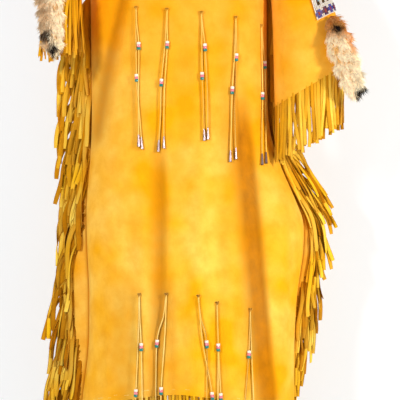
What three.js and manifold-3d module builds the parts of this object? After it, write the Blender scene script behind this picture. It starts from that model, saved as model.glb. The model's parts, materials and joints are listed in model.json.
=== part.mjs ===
// A beaded buckskin dress, hollow, as it hangs from the shoulders of a general figure.
// Millimetres. +X is the wearer's left, -Y the front, +Z up. The origin lies at the middle of the
// neck, level with the shoulder line, where the wearer carries the weight.
// The dress hangs askew: everything drops a little towards the wearer's left.
import * as THREE from "three";
import { mergeVertices } from "three/addons/utils/BufferGeometryUtils.js";
import Module from "manifold-3d";

const wasm = await Module();
wasm.setup();

// ---------------------------------------------------------------- driving sizes
const HIDE = 2; // thickness of the buckskin
const SEAM_GAP = 0.3; // between two pieces that are sewn together
const SLEEVE_GAP = 1.4; // from the edge of an armhole to its sleeve, along the sleeve
const DROP = 0.12; // fall towards the wearer's left, for each mm across
const SQUARENESS = 2.3; // exponent of the body's rounded section, 2 is an ellipse

const ARMPIT = -205;
const SHOULDER_TIP = { x: 200, z: -38 };
const NECK = { half: 95, front: 75, back: 25, share: 0.42 };
const ARMHOLE = { depth: 50, inset: 26, reach: 4 };

const HEM = { middle: -1208, leftDrop: 45, rightDrop: 75, half: 270, bend: 1.6 };
const PANEL = { columns: 26, yokeRows: 5, skirtRows: 11 };

// Level sections of the body below the armpits: side edges, front and back, and the angle of the
// seam at the wearer's left, which wanders behind the edge towards the hem.
const SECTIONS = [
  { z: -100, left: -224, right: 203, front: -124, back: 112, seam: 90 },
  { z: -230, left: -226, right: 204, front: -128, back: 118, seam: 90 },
  { z: -510, left: -223, right: 206, front: -132, back: 122, seam: 90 },
  { z: -590, left: -224, right: 214, front: -136, back: 126, seam: 90 },
  { z: -666, left: -228, right: 238, front: -142, back: 131, seam: 90 },
  { z: -750, left: -235, right: 274, front: -150, back: 138, seam: 90 },
  { z: -800, left: -236, right: 292, front: -154, back: 141, seam: 90 },
  { z: -870, left: -234, right: 293, front: -159, back: 145, seam: 90 },
  { z: -930, left: -231, right: 285, front: -162, back: 148, seam: 91 },
  { z: -990, left: -229, right: 277, front: -165, back: 150, seam: 94 },
  { z: -1110, left: -231, right: 271, front: -169, back: 154, seam: 103 },
  { z: -1230, left: -245, right: 271, front: -172, back: 158, seam: 112 },
  { z: -1300, left: -250, right: 275, front: -174, back: 160, seam: 112 },
];

// Folds: how far across they run at their top, middle and bottom. A ridge has a negative depth.
const FRONT_FOLDS = [
  { top: -150, bottom: -560, x0: -118, x1: -165, x2: -200, depth: 11, width: 24 },
  { top: -540, bottom: -1260, x0: -58, x1: -50, x2: -68, depth: 9, width: 26 },
  { top: -1020, bottom: -1260, x0: -34, x1: -30, x2: -26, depth: 6, width: 18 },
  { top: -560, bottom: -1260, x0: 44, x1: 44, x2: 30, depth: -8, width: 34 },
  { top: -430, bottom: -1270, x0: 134, x1: 166, x2: 209, depth: 17, width: 30 },
  { top: -740, bottom: -1120, x0: 232, x1: 240, x2: 240, depth: -9, width: 26 },
  { top: -900, bottom: -1260, x0: -150, x1: -158, x2: -150, depth: 5, width: 30 },
];
const BACK_FOLDS = [
  { top: -330, bottom: -1260, x0: -120, x1: -135, x2: -170, depth: 12, width: 30 },
  { top: -500, bottom: -1260, x0: -30, x1: -38, x2: -60, depth: 8, width: 28 },
  { top: -420, bottom: -1260, x0: 60, x1: 74, x2: 90, depth: 13, width: 32 },
  { top: -640, bottom: -1260, x0: 150, x1: 168, x2: 190, depth: 9, width: 26 },
  { top: -560, bottom: -1200, x0: 15, x1: 18, x2: 12, depth: -7, width: 30 },
];

// Sleeves: the cuff's middle, its half sizes and slope, and how stiffly the tube leaves both ends.
const SLEEVES = [
  {
    name: "left",
    side: 1,
    cuff: { x: 305, y: -60, z: -468, half: 97, depth: 62, slope: 30.3 },
    leave: { top: 75, under: 23 },
    arrive: { top: 180, under: 200 },
  },
  {
    name: "right",
    side: -1,
    cuff: { x: -290, y: -92, z: -256, half: 48, depth: 80, slope: -8 },
    leave: { top: 60, under: 16 },
    arrive: { top: 100, under: 45 },
  },
];
const SLEEVE_MESH = { around: 20, along: 7 };

// Beaded bands over the shoulders and down the sleeves, and the fur tails at their ends.
// twist turns a band towards the front, in turns around the sleeve. A tail's back bends from the
// band's end towards its knee and ends at the last point.
const BAND = { width: 58, thick: 3, off: 2.4, across: 4, shoulder: 4 };
const BANDS = {
  left: { steps: 10.6, twist: 0.105 },
  right: { steps: 11, twist: 0.1 },
};
const FUR_SIDES = 8;
const FUR_TAILS = {
  left: { knee: [365, -117, -390], to: [406, -118, -500], half: 35, thick: 25, facing: 22 },
  right: { knee: [-302, -204, -226], to: [-300, -184, -408], half: 32, thick: 25, facing: 14 },
};
const FUR_SHAPE = [
  { at: 0, full: 0.35 },
  { at: 0.12, full: 0.8 },
  { at: 0.35, full: 1 },
  { at: 0.75, full: 1 },
  { at: 0.93, full: 0.8 },
  { at: 1, full: 0.35 },
];

// Side fringes: the width of the uncut flap beside the seam, and how far the strands stand out.
const SIDE_FRINGES = {
  right: {
    side: -1,
    top: -330,
    bottom: -1245,
    strands: 34,
    rows: [
      { z: -330, flap: 9, reach: 98 },
      { z: -560, flap: 9, reach: 95 },
      { z: -620, flap: 9, reach: 72 },
      { z: -690, flap: 9, reach: 68 },
      { z: -790, flap: 10, reach: 88 },
      { z: -850, flap: 24, reach: 97 },
      { z: -900, flap: 44, reach: 106 },
      { z: -970, flap: 51, reach: 114 },
      { z: -1030, flap: 48, reach: 100 },
      { z: -1080, flap: 38, reach: 98 },
      { z: -1130, flap: 25, reach: 95 },
      { z: -1200, flap: 15, reach: 92 },
      { z: -1400, flap: 11, reach: 80 },
    ],
  },
  left: {
    side: 1,
    top: -560,
    bottom: -1262,
    strands: 26,
    rows: [
      { z: -560, flap: 8, reach: 80 },
      { z: -666, flap: 8, reach: 88 },
      { z: -750, flap: 10, reach: 82 },
      { z: -800, flap: 18, reach: 76 },
      { z: -840, flap: 27, reach: 74 },
      { z: -913, flap: 26, reach: 76 },
      { z: -961, flap: 15, reach: 75 },
      { z: -1033, flap: 9, reach: 56 },
      { z: -1098, flap: 8, reach: 41 },
      { z: -1158, flap: 8, reach: 27 },
      { z: -1400, flap: 8, reach: 24 },
    ],
  },
};
const STRAND = { length: 150, width: 8, thick: 1.4, bite: 4 };
const LANES = [1, 0.4, 0.78, 0.2, 0.92, 0.6]; // share of the reach, one lane behind the other
const LANE_DEPTH = { first: 24, step: -3.2 };
const HEM_FRINGE = { strands: 22, strip: 12, length: 130, width: 12, sway: 3, flare: 2 };
const CUFF_FRINGE = { strands: 18, strip: 10, length: 143, width: 10, sway: 3, flare: 3, margin: 9 };

// Tassels on the front: where each is knotted in, and for its two thongs how far down the beads
// and the end hang and how far they lie across. Chest and skirt row.
const TASSELS = [
  { name: "tassel_chest_1", x: -112, z: -291, thongs: [[92, 7, 325, 7], [168, 2, 331, 15]] },
  { name: "tassel_chest_2", x: -38, z: -296, thongs: [[85, 1, 324, -7], [175, -13, 332, -20]] },
  { name: "tassel_chest_3", x: 45, z: -303, thongs: [[84, 8, 296, 15], [152, 1, 299, 6]] },
  { name: "tassel_chest_4", x: 127, z: -313, thongs: [[96, 1, 333, 0], [175, -9, 339, -14]] },
  { name: "tassel_chest_5", x: 190, z: -329, thongs: [[94, 8, 326, 10], [170, 2, 330, 0]] },
  { name: "tassel_skirt_1", x: -103, z: -974, thongs: [[124, 5, 450, 8], [233, -8, 455, -12]] },
  { name: "tassel_skirt_2", x: -39, z: -973, thongs: [[117, -22, 452, -30], [228, -12, 455, -10]] },
  { name: "tassel_skirt_3", x: 37, z: -976, thongs: [[114, 20, 448, 20], [236, 33, 450, 36]] },
  { name: "tassel_skirt_4", x: 82, z: -993, thongs: [[105, 2, 445, 3], [222, 8, 450, 18]] },
  { name: "tassel_skirt_5", x: 161, z: -1010, thongs: [[106, -4, 440, -30], [235, 8, 445, 12]] },
];
const THONG = { width: 3, thick: 2, off: 6.6 };
const STEEPEST = 0.4; // slope beyond which a thong hangs no further off the cloth
const KNOT = { radius: 4.7, sides: 6, gap: 0.3 };
const BEAD = { radius: 4.8, waist: 3.1, height: 6.4, count: 3, sides: 6 };
const CONE = { top: 1.9, bottom: 3.7, height: 28, sides: 5 };

// ---------------------------------------------------------------- small helpers
const vec = (x, y, z) => new THREE.Vector3(x, y, z);
const mix = THREE.MathUtils.lerp;
const clamp = THREE.MathUtils.clamp;
const radians = THREE.MathUtils.degToRad;
const rounded = (value) => Math.sign(value) * Math.abs(value) ** (2 / SQUARENESS);
const bump = (share) => Math.sin(Math.PI * share);
const ease = (share) => share * share * (3 - 2 * share);
const times = (count, make) => Array.from({ length: count }, (_, i) => make(i));

// A smooth curve through one column of a table, read at any height.
function along(rows, column) {
  const slope = (i) => {
    const a = rows[Math.max(i - 1, 0)];
    const b = rows[Math.min(i + 1, rows.length - 1)];
    return (b[column] - a[column]) / (b.z - a.z);
  };
  return (z) => {
    let i = rows.findIndex((row) => row.z <= z);
    if (i === 0) return rows[0][column];
    if (i < 0) return rows[rows.length - 1][column];
    i -= 1;
    const span = rows[i + 1].z - rows[i].z;
    const s = (z - rows[i].z) / span;
    const flat = 2 * s ** 3 - 3 * s ** 2;
    return (
      rows[i][column] * (flat + 1) -
      rows[i + 1][column] * flat +
      slope(i) * span * (s ** 3 - 2 * s ** 2 + s) +
      slope(i + 1) * span * (s ** 3 - s ** 2)
    );
  };
}

// An indexed geometry with its faces turned outwards.
function closedGeometry(points, faces) {
  let volume = 0;
  for (const [a, b, c] of faces)
    volume += points[a].dot(points[b].clone().cross(points[c]));
  const outward = volume < 0 ? faces.map(([a, b, c]) => [a, c, b]) : faces;
  const geometry = new THREE.BufferGeometry().setFromPoints(points);
  geometry.setIndex(outward.flat());
  return geometry;
}

// A closed wall between a grid of outer points and the same grid of inner points. Rows run down
// and columns run across; a looped wall joins its last column to its first.
function wall(outer, inner, looped = false) {
  const rows = outer.length;
  const columns = outer[0].length;
  const points = [...outer.flat(), ...inner.flat()];
  const at = (layer, i, j) => layer * rows * columns + i * columns + (j % columns);
  const faces = [];
  const quad = (a, b, c, d) => faces.push([a, b, c], [a, c, d]);
  const lastColumn = looped ? columns : columns - 1;
  for (let i = 0; i < rows - 1; i += 1)
    for (let j = 0; j < lastColumn; j += 1) {
      quad(at(0, i, j), at(0, i + 1, j), at(0, i + 1, j + 1), at(0, i, j + 1));
      quad(at(1, i, j), at(1, i, j + 1), at(1, i + 1, j + 1), at(1, i + 1, j));
    }
  for (let j = 0; j < lastColumn; j += 1) {
    quad(at(0, 0, j), at(0, 0, j + 1), at(1, 0, j + 1), at(1, 0, j));
    quad(at(0, rows - 1, j), at(1, rows - 1, j), at(1, rows - 1, j + 1), at(0, rows - 1, j + 1));
  }
  const end = columns - 1;
  if (!looped)
    for (let i = 0; i < rows - 1; i += 1) {
      quad(at(0, i, 0), at(1, i, 0), at(1, i + 1, 0), at(0, i + 1, 0));
      quad(at(0, i, end), at(0, i + 1, end), at(1, i + 1, end), at(1, i, end));
    }
  return closedGeometry(points, faces);
}

// Unit normals of a grid of points, pointing away from the given middle.
function gridNormals(grid, looped, middle) {
  const rows = grid.length;
  const columns = grid[0].length;
  const normals = grid.map((row, i) =>
    row.map((_, j) => {
      const up = grid[Math.max(i - 1, 0)][j];
      const down = grid[Math.min(i + 1, rows - 1)][j];
      const before = looped ? row[(j + columns - 1) % columns] : row[Math.max(j - 1, 0)];
      const after = looped ? row[(j + 1) % columns] : row[Math.min(j + 1, columns - 1)];
      return down.clone().sub(up).cross(after.clone().sub(before)).normalize();
    }),
  );
  let agreement = 0;
  grid.forEach((row, i) =>
    row.forEach((p, j) => {
      agreement += p.clone().sub(middle).dot(normals[i][j]);
    }),
  );
  if (agreement < 0) normals.flat().forEach((n) => n.negate());
  return normals;
}

const moved = (grid, normals, distance) =>
  grid.map((row, i) => row.map((p, j) => p.clone().addScaledVector(normals[i][j], distance)));

// A closed solid through rings of points, capped at both ends.
function loft(rings) {
  const sides = rings[0].length;
  const points = rings.flat();
  const faces = [];
  for (let i = 0; i < rings.length - 1; i += 1)
    for (let j = 0; j < sides; j += 1) {
      const a = i * sides + j;
      const b = i * sides + ((j + 1) % sides);
      faces.push([a, b, b + sides], [a, b + sides, a + sides]);
    }
  const last = (rings.length - 1) * sides;
  for (let j = 1; j < sides - 1; j += 1) faces.push([0, j + 1, j], [last, last + j, last + j + 1]);
  return closedGeometry(points, faces);
}

// A flat strip of hide through the given points, with four corners to each section.
function strand(path, wide, thin, width, thick, tip = 0.8) {
  const corners = [[-1, -1], [1, -1], [1, 1], [-1, 1]];
  return loft(
    path.map((p, i) => {
      const taper = i === path.length - 1 ? tip : 1;
      return corners.map(([a, b]) =>
        p
          .clone()
          .addScaledVector(wide, (a * width * taper) / 2)
          .addScaledVector(thin, (b * thick) / 2),
      );
    }),
  );
}

function solid(geometry) {
  const bare = geometry.clone();
  bare.deleteAttribute("normal");
  bare.deleteAttribute("uv");
  const merged = mergeVertices(bare, 1e-4);
  return new wasm.Manifold(
    new wasm.Mesh({
      numProp: 3,
      vertProperties: new Float32Array(merged.attributes.position.array),
      triVerts: new Uint32Array(merged.index.array),
    }),
  );
}

function joined(geometries) {
  const mesh = wasm.Manifold.union(geometries.map(solid)).getMesh();
  const geometry = new THREE.BufferGeometry();
  geometry.setAttribute("position", new THREE.BufferAttribute(mesh.vertProperties, 3));
  geometry.setIndex(new THREE.BufferAttribute(mesh.triVerts, 1));
  return geometry;
}

// ---------------------------------------------------------------- the body's form
const leftEdge = along(SECTIONS, "left");
const rightEdge = along(SECTIONS, "right");
const frontDepth = along(SECTIONS, "front");
const backDepth = along(SECTIONS, "back");
const seamAngle = along(SECTIONS, "seam");

function foldDepth(folds, x, z) {
  let depth = 0;
  for (const fold of folds) {
    const share = (fold.top - z) / (fold.top - fold.bottom);
    if (share <= 0 || share >= 1.2) continue;
    const line = (1 - share) ** 2 * fold.x0 + 2 * share * (1 - share) * fold.x1 + share ** 2 * fold.x2;
    const fade = ease(clamp(share / 0.25, 0, 1));
    depth += fold.depth * fade * Math.exp(-(((x - line) / fold.width) ** 2));
  }
  return depth;
}

// A point of the body below the armpits. u runs from -1 at the wearer's right seam to 1 at the
// left one; face is -1 for the front and 1 for the back.
function bodyPoint(face, u, z) {
  const seam = u > 0 ? seamAngle(z) : 90;
  const angle = radians(face < 0 ? u * seam : 180 - u * (180 - seam));
  const middle = (leftEdge(z) + rightEdge(z)) / 2;
  const half = (rightEdge(z) - leftEdge(z)) / 2;
  const depthMiddle = (frontDepth(z) + backDepth(z)) / 2;
  const halfDepth = (backDepth(z) - frontDepth(z)) / 2;
  const x = middle + half * rounded(Math.sin(angle));
  const across = -rounded(Math.cos(angle));
  const folds = face < 0 ? FRONT_FOLDS : BACK_FOLDS;
  const calm = Math.min(1, 2 * Math.abs(across), 10 * (1 - Math.abs(u)));
  const pressed = -face * foldDepth(folds, x, z) * Math.max(calm, 0);
  return vec(x, depthMiddle + halfDepth * across + pressed + (face * SEAM_GAP) / 2, z);
}

// The same point, pushed out to the given distance from the body's section where it lay nearer.
function clearOfBody(p, margin) {
  const z = Math.max(p.z, HEM.middle);
  const middle = vec((leftEdge(z) + rightEdge(z)) / 2, (frontDepth(z) + backDepth(z)) / 2, p.z);
  const away = p.clone().sub(middle);
  const share =
    Math.abs(away.x / ((rightEdge(z) - leftEdge(z)) / 2 + margin)) ** SQUARENESS +
    Math.abs(away.y / ((backDepth(z) - frontDepth(z)) / 2 + margin)) ** SQUARENESS;
  return share < 1 ? middle.addScaledVector(away, share ** (-1 / SQUARENESS)) : p;
}

const hemHeight = (x) => {
  const fall = x < 0 ? HEM.leftDrop : HEM.rightDrop;
  return HEM.middle - fall * Math.abs(x / HEM.half) ** HEM.bend;
};

// Where a column of the body starts and ends, at the armpits' level and at the hem.
const armpitPoint = (face, u) => {
  const level = bodyPoint(face, u, ARMPIT);
  return bodyPoint(face, u, ARMPIT - DROP * level.x);
};
const hemPoint = (face, u, below = 0) => {
  const level = bodyPoint(face, u, HEM.middle);
  return bodyPoint(face, u, hemHeight(level.x) - below);
};

// Half across the top: the neckline, then the shoulder seam out to its tip.
function topPoint(face, u) {
  const share = Math.abs(u) / NECK.share;
  if (share < 1) {
    const angle = (share * Math.PI) / 2;
    const depth = face < 0 ? -NECK.front : NECK.back;
    return { x: Math.sign(u) * NECK.half * Math.sin(angle), y: depth * Math.cos(angle) };
  }
  const out = (Math.abs(u) - NECK.share) / (1 - NECK.share);
  return { x: Math.sign(u) * mix(NECK.half, SHOULDER_TIP.x, out), y: 0 };
}

const shoulderHeight = (x) =>
  SHOULDER_TIP.z * clamp((Math.abs(x) - NECK.half) / (SHOULDER_TIP.x - NECK.half), 0, 1) - DROP * x;

// A point of the yoke, v from 0 at the armpits' level to 1 at the neck and shoulder seam.
function yokePoint(face, u, v) {
  const base = armpitPoint(face, u);
  const top = topPoint(face, u);
  const depthMiddle = (frontDepth(base.z) + backDepth(base.z)) / 2 + (face * SEAM_GAP) / 2;
  const depth = base.y - depthMiddle;
  const end = Math.abs(depth) < 1e-6 ? Math.PI / 2 : Math.acos(clamp(top.y / depth, 0, 1));
  const edge = Math.abs(u) ** ARMHOLE.reach * bump(v);
  return vec(
    mix(base.x, top.x, ease(v)) - Math.sign(u) * ARMHOLE.inset * edge,
    mix(depthMiddle, (face * SEAM_GAP) / 2, v) + depth * Math.cos(end * v) + face * ARMHOLE.depth * edge,
    mix(base.z, shoulderHeight(top.x), Math.sin(end * v)),
  );
}

function panelGrid(face) {
  const yoke = times(PANEL.yokeRows, (i) =>
    times(PANEL.columns + 1, (j) =>
      yokePoint(face, (2 * j) / PANEL.columns - 1, 1 - i / PANEL.yokeRows),
    ),
  );
  const skirt = times(PANEL.skirtRows + 1, (i) =>
    times(PANEL.columns + 1, (j) => {
      const u = (2 * j) / PANEL.columns - 1;
      const top = armpitPoint(face, u);
      const bottom = hemPoint(face, u);
      return bodyPoint(face, u, mix(top.z, bottom.z, i / PANEL.skirtRows));
    }),
  );
  return [...yoke, ...skirt];
}

const BODY_MIDDLE = vec(0, 0, -600);
const TOUCHING = 1; // points of the two faces closer than this lie on one seam

// Both faces with their normals. Where they meet, both take the mean normal, so their walls end
// square to the seam.
function bodyFaces() {
  const faces = [-1, 1].map((face) => {
    const grid = panelGrid(face);
    const normals = gridNormals(grid, false, BODY_MIDDLE);
    normals.at(-1).forEach((n) => n.setZ(0).normalize());
    normals.slice(1, PANEL.yokeRows).forEach((row) => {
      row[0].copy(row[1]);
      row.at(-1).copy(row.at(-2));
    });
    return { grid, normals };
  });
  const [front, back] = faces;
  front.grid.forEach((row, i) =>
    row.forEach((p, j) => {
      if (p.distanceTo(back.grid[i][j]) > TOUCHING) return;
      const shared = front.normals[i][j].add(back.normals[i][j]).normalize();
      back.normals[i][j].copy(shared);
    }),
  );
  return { front, back };
}

const body = bodyFaces();

const bodyPanel = ({ grid, normals }) => wall(grid, moved(grid, normals, -HIDE));

// The side edge of a panel, at a height, on its own straight facets.
function seamPoint(side, z) {
  const column = side > 0 ? PANEL.columns : 0;
  const edge = body.front.grid.map((row) => row[column]);
  const found = edge.findIndex((p) => p.z <= z);
  const i = found < 1 ? edge.length - 2 : found - 1;
  const share = clamp((z - edge[i].z) / (edge[i + 1].z - edge[i].z), 0, 1);
  return edge[i].clone().lerp(edge[i + 1], share).setZ(z);
}

// ---------------------------------------------------------------- sleeves
// A point on the edge of an armhole, on the panels' own facets, and the panels' normal there.
// turn 0 is its top, 0.25 its front, 0.5 under the arm.
function armhole(side, turn) {
  const { grid, normals } = turn <= 0.5 ? body.front : body.back;
  const column = side > 0 ? PANEL.columns : 0;
  const place = PANEL.yokeRows * (turn <= 0.5 ? 2 * turn : 2 - 2 * turn);
  const i = Math.min(Math.floor(place), PANEL.yokeRows - 1);
  const blend = (rows) => rows[i][column].clone().lerp(rows[i + 1][column], place - i);
  return { point: blend(grid), normal: blend(normals).normalize() };
}

// A point of a sleeve: turn as above; s runs from the armhole to the cuff.
function sleevePoint(sleeve, turn, s) {
  const { side, cuff, leave, arrive } = sleeve;
  const swing = 2 * Math.PI * turn;
  const upper = (1 + Math.cos(swing)) / 2;
  const slope = radians(cuff.slope);
  const rim = vec(
    cuff.x + side * cuff.half * Math.cos(swing) * Math.cos(slope),
    cuff.y - cuff.depth * Math.sin(swing),
    cuff.z + cuff.half * Math.cos(swing) * Math.sin(slope),
  );
  const outwards = vec(side * mix(0.76, 0.93, upper), 0, mix(-0.65, -0.37, upper));
  const start = armhole(side, turn).point.addScaledVector(outwards, SLEEVE_GAP);
  const curve = new THREE.CubicBezierCurve3(
    start,
    start.clone().addScaledVector(outwards, mix(leave.under, leave.top, upper)),
    rim.clone().add(vec(-side * 6, 0, mix(arrive.under, arrive.top, upper))),
    rim,
  );
  return curve.getPoint(s);
}

const sleeveMiddle = (sleeve) => vec(sleeve.cuff.x, sleeve.cuff.y, sleeve.cuff.z / 2);

function sleeveTube(sleeve) {
  const grid = times(SLEEVE_MESH.along + 1, (i) =>
    times(SLEEVE_MESH.around, (j) =>
      sleevePoint(sleeve, j / SLEEVE_MESH.around, i / SLEEVE_MESH.along),
    ),
  );
  const normals = gridNormals(grid, true, sleeveMiddle(sleeve));
  normals.at(-1).forEach((n) => n.setZ(0).normalize());
  return wall(grid, moved(grid, normals, -HIDE), true);
}

// ---------------------------------------------------------------- bands and fur
// The band's width on the shoulder, then on the sleeve, in rows that match the sleeve's own and
// those halfway between them.
function bandGrid(sleeve) {
  const { steps, twist } = BANDS[sleeve.name];
  const acrossShares = times(BAND.across + 1, (j) => (2 * j) / BAND.across - 1);
  const shoulder = times(BAND.shoulder + 1, (i) => {
    const x = mix(NECK.half + 6, SHOULDER_TIP.x - 6, i / BAND.shoulder) * sleeve.side;
    return acrossShares.map((share) => shoulderPoint(x, (share * BAND.width) / 2));
  });
  const lower = times(Math.ceil(steps), (i) => {
    const step = Math.min(i + 1, steps);
    const s = step / (2 * SLEEVE_MESH.along);
    const middle = twist * ease(step / steps);
    const ring = sleevePoint(sleeve, 0, s).distanceTo(sleevePoint(sleeve, 0.04, s)) / 0.04;
    return acrossShares.map((share) => {
      const turn = middle - (share * BAND.width) / 2 / ring;
      return sleevePoint(sleeve, turn < 0 ? turn + 1 : turn, s);
    });
  });
  return [...shoulder, ...lower];
}

// The shoulder's surface over a point across, y in front of or behind the seam.
function shoulderPoint(x, y) {
  const face = y < 0 ? -1 : 1;
  const out = (Math.abs(x) - NECK.half) / (SHOULDER_TIP.x - NECK.half);
  const u = Math.sign(x) * mix(NECK.share, 1, out);
  let low = 0;
  let high = 1;
  for (let i = 0; i < 24; i += 1) {
    const v = (low + high) / 2;
    if (Math.abs(yokePoint(face, u, v).y) > Math.abs(y)) low = v;
    else high = v;
  }
  return yokePoint(face, u, (low + high) / 2);
}

function beadedBand(sleeve) {
  const grid = bandGrid(sleeve);
  const normals = gridNormals(grid, false, vec(sleeve.side * 120, 0, -400));
  return wall(moved(grid, normals, BAND.off + BAND.thick), moved(grid, normals, BAND.off));
}

function furTail(sleeve) {
  const { knee, to, half, thick, facing } = FUR_TAILS[sleeve.name];
  const turn = radians(facing) * sleeve.side;
  const wide = vec(Math.cos(turn), Math.sin(turn), 0);
  const out = vec(Math.sin(turn), -Math.cos(turn), 0);
  const start = bandGrid(sleeve).at(-1)[BAND.across / 2].addScaledVector(out, 2 * BAND.off + 0.5);
  start.z -= BAND.off;
  const back = new THREE.QuadraticBezierCurve3(start, vec(...knee), vec(...to));
  return loft(
    FUR_SHAPE.map(({ at, full }) => {
      const middle = back.getPoint(at).addScaledVector(out, thick * full);
      return times(FUR_SIDES, (j) => {
        const angle = (2 * Math.PI * (j + 0.5)) / FUR_SIDES;
        return middle
          .clone()
          .addScaledVector(wide, half * full * Math.cos(angle))
          .addScaledVector(out, thick * full * Math.sin(angle));
      });
    }),
  );
}

// ---------------------------------------------------------------- fringes
// Three heights along a strand's length: its root, its bend and its tip.
const STRAND_STEPS = [0, 0.45, 1];
const STRAND_SWING = [0, 0.78, 1]; // how much of its reach a side strand has at each of them
const DOWN = vec(0, 0, -1);

function sideFringe(name) {
  const { side, top, bottom, strands, rows } = SIDE_FRINGES[name];
  const flap = along(rows, "flap");
  const reach = along(rows, "reach");
  const seam = (z) => seamPoint(side, z);
  const outward = (z) => {
    const turn = side > 0 ? radians(seamAngle(z) - 90) : 0;
    return vec(side * Math.cos(turn), Math.sin(turn), 0);
  };
  const beside = (z, out, deep) => {
    const direction = outward(z);
    const p = seam(z).addScaledVector(direction, out);
    return p.add(vec(-direction.y * side * deep, direction.x * side * deep, 0));
  };
  const seamRows = body.front.grid.map((row) => row[side > 0 ? PANEL.columns : 0].z);
  const halves = seamRows.slice(1).map((z, i) => (z + seamRows[i]) / 2);
  const heights = [...seamRows, ...halves].filter((z) => z < top - 5 && z > bottom + 5);
  const stations = [top, ...heights.sort((a, b) => b - a), bottom];
  const stripSide = (deep) =>
    stations.map((z) => [beside(z, 3 * SEAM_GAP, deep), beside(z, flap(z), deep)]);
  const strip = wall(stripSide(HIDE / 2), stripSide(-HIDE / 2));
  const loose = times(strands, (k) => {
    const rootZ = mix(top - 6, bottom + 8, k / (strands - 1));
    const lane = k % LANES.length;
    const deep = LANE_DEPTH.first + lane * LANE_DEPTH.step;
    const length = STRAND.length * (0.94 + 0.12 * bump((k * 0.37) % 1));
    const root = Math.max(flap(rootZ) - STRAND.bite, STRAND.width / 2 + 1.5);
    const path = STRAND_STEPS.map((share, step) => {
      const z = rootZ - length * share;
      const out = Math.max(mix(root, LANES[lane] * reach(z), STRAND_SWING[step]), root);
      return beside(z, out, share > 0 ? deep : 0);
    });
    const across = outward(rootZ);
    const thin = across.clone().cross(DOWN);
    return strand(path, across, thin, STRAND.width, STRAND.thick);
  });
  return joined([strip, ...loose]);
}

// A strip that carries on the edge of a wall, with strands hanging plumb from it. edge gives the
// wall's edge and its outward direction for a share along it.
function edgeFringe(edge, looped, steps, size) {
  const stations = times(steps + 1, (i) => edge(i / steps));
  const between = (share) => {
    const i = Math.min(Math.floor(share * steps), steps - 1);
    const part = share * steps - i;
    return {
      point: stations[i].point.clone().lerp(stations[i + 1].point, part),
      outward: stations[i].outward.clone().lerp(stations[i + 1].outward, part).normalize(),
    };
  };
  const stripRows = (inwards) =>
    [SEAM_GAP, size.strip].map((below) =>
      stations.slice(0, looped ? steps : steps + 1).map(({ point, outward }) =>
        point.clone().addScaledVector(outward, -inwards).add(vec(0, 0, -below)),
      ),
    );
  const strip = wall(stripRows(0), stripRows(HIDE), looped);
  const loose = times(size.strands, (k) => {
    const { point, outward } = between((k + 0.5) / size.strands);
    const wide = outward.clone().cross(DOWN).normalize();
    const sway = size.sway * Math.sin(k * 2.4);
    const root = point.addScaledVector(outward, -HIDE / 2);
    const length = size.length * (0.95 + 0.1 * bump((k * 0.43) % 1));
    const path = STRAND_STEPS.map((down) =>
      root
        .clone()
        .add(vec(0, 0, -mix(size.strip - STRAND.bite, length, down)))
        .addScaledVector(wide, sway * down)
        .addScaledVector(outward, size.flare * down),
    );
    const hung = size.margin ? path.map((p) => clearOfBody(p, size.margin)) : path;
    return strand(hung, wide, outward, size.width, STRAND.thick);
  });
  return joined([strip, ...loose]);
}

function hemFringe(face) {
  const edge = (share) => {
    const u = mix(-0.985, 0.985, share);
    const point = hemPoint(face, u);
    const ahead = hemPoint(face, Math.min(u + 0.01, 1)).sub(hemPoint(face, u - 0.01));
    const outward = vec(ahead.y, -ahead.x, 0).multiplyScalar(-face).normalize();
    return { point, outward };
  };
  return edgeFringe(edge, false, PANEL.columns, HEM_FRINGE);
}

function cuffFringe(sleeve) {
  const middle = vec(sleeve.cuff.x, sleeve.cuff.y, 0);
  const edge = (share) => {
    const point = sleevePoint(sleeve, share % 1, 1);
    const outward = point.clone().setZ(0).sub(middle);
    outward.x /= sleeve.cuff.half ** 2;
    outward.y /= sleeve.cuff.depth ** 2;
    return { point, outward: outward.normalize() };
  };
  return edgeFringe(edge, true, SLEEVE_MESH.around, CUFF_FRINGE);
}

// ---------------------------------------------------------------- tassels
// A group of three large beads, their middle at the given point.
function beadGroup(middle) {
  const half = (BEAD.count * BEAD.height) / 2;
  const profile = [new THREE.Vector2(0, -half), new THREE.Vector2(BEAD.waist, -half)];
  times(BEAD.count, (i) => {
    const base = -half + i * BEAD.height;
    profile.push(new THREE.Vector2(BEAD.radius, base + BEAD.height / 2));
    profile.push(new THREE.Vector2(BEAD.waist, base + BEAD.height));
  });
  profile.push(new THREE.Vector2(0, half));
  const geometry = new THREE.LatheGeometry(profile, BEAD.sides);
  return geometry.rotateX(Math.PI / 2).translate(middle.x, middle.y, middle.z);
}

function tassel(row, front) {
  const ray = new THREE.Raycaster();
  const hang = (x, z, off) => {
    ray.set(vec(x, -1000, Math.max(z, hemHeight(x) + 4)), vec(0, 1, 0));
    const { point, face } = ray.intersectObject(front)[0];
    return vec(x, point.y - off / Math.max(-face.normal.y, STEEPEST), z);
  };
  const root = hang(row.x, row.z, KNOT.radius + KNOT.gap);
  const pieces = [
    new THREE.SphereGeometry(KNOT.radius, KNOT.sides, 4).translate(root.x, root.y, root.z),
  ];
  for (const [beadDrop, beadAcross, endDrop, endAcross] of row.thongs) {
    const down = [0, beadDrop, (beadDrop + endDrop) / 2, endDrop];
    const across = [0, beadAcross, (beadAcross + endAcross) / 2, endAcross];
    const path = down.map((drop, i) =>
      i ? hang(row.x + across[i], row.z - drop, THONG.off) : root,
    );
    pieces.push(strand(path, vec(1, 0, 0), vec(0, 1, 0), THONG.width, THONG.thick, 1));
    pieces.push(beadGroup(path[1]));
    const cone = new THREE.CylinderGeometry(CONE.top, CONE.bottom, CONE.height, CONE.sides);
    const end = path.at(-1);
    pieces.push(cone.rotateX(Math.PI / 2).translate(end.x, end.y, end.z + CONE.height / 4));
  }
  return joined(pieces);
}

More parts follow.
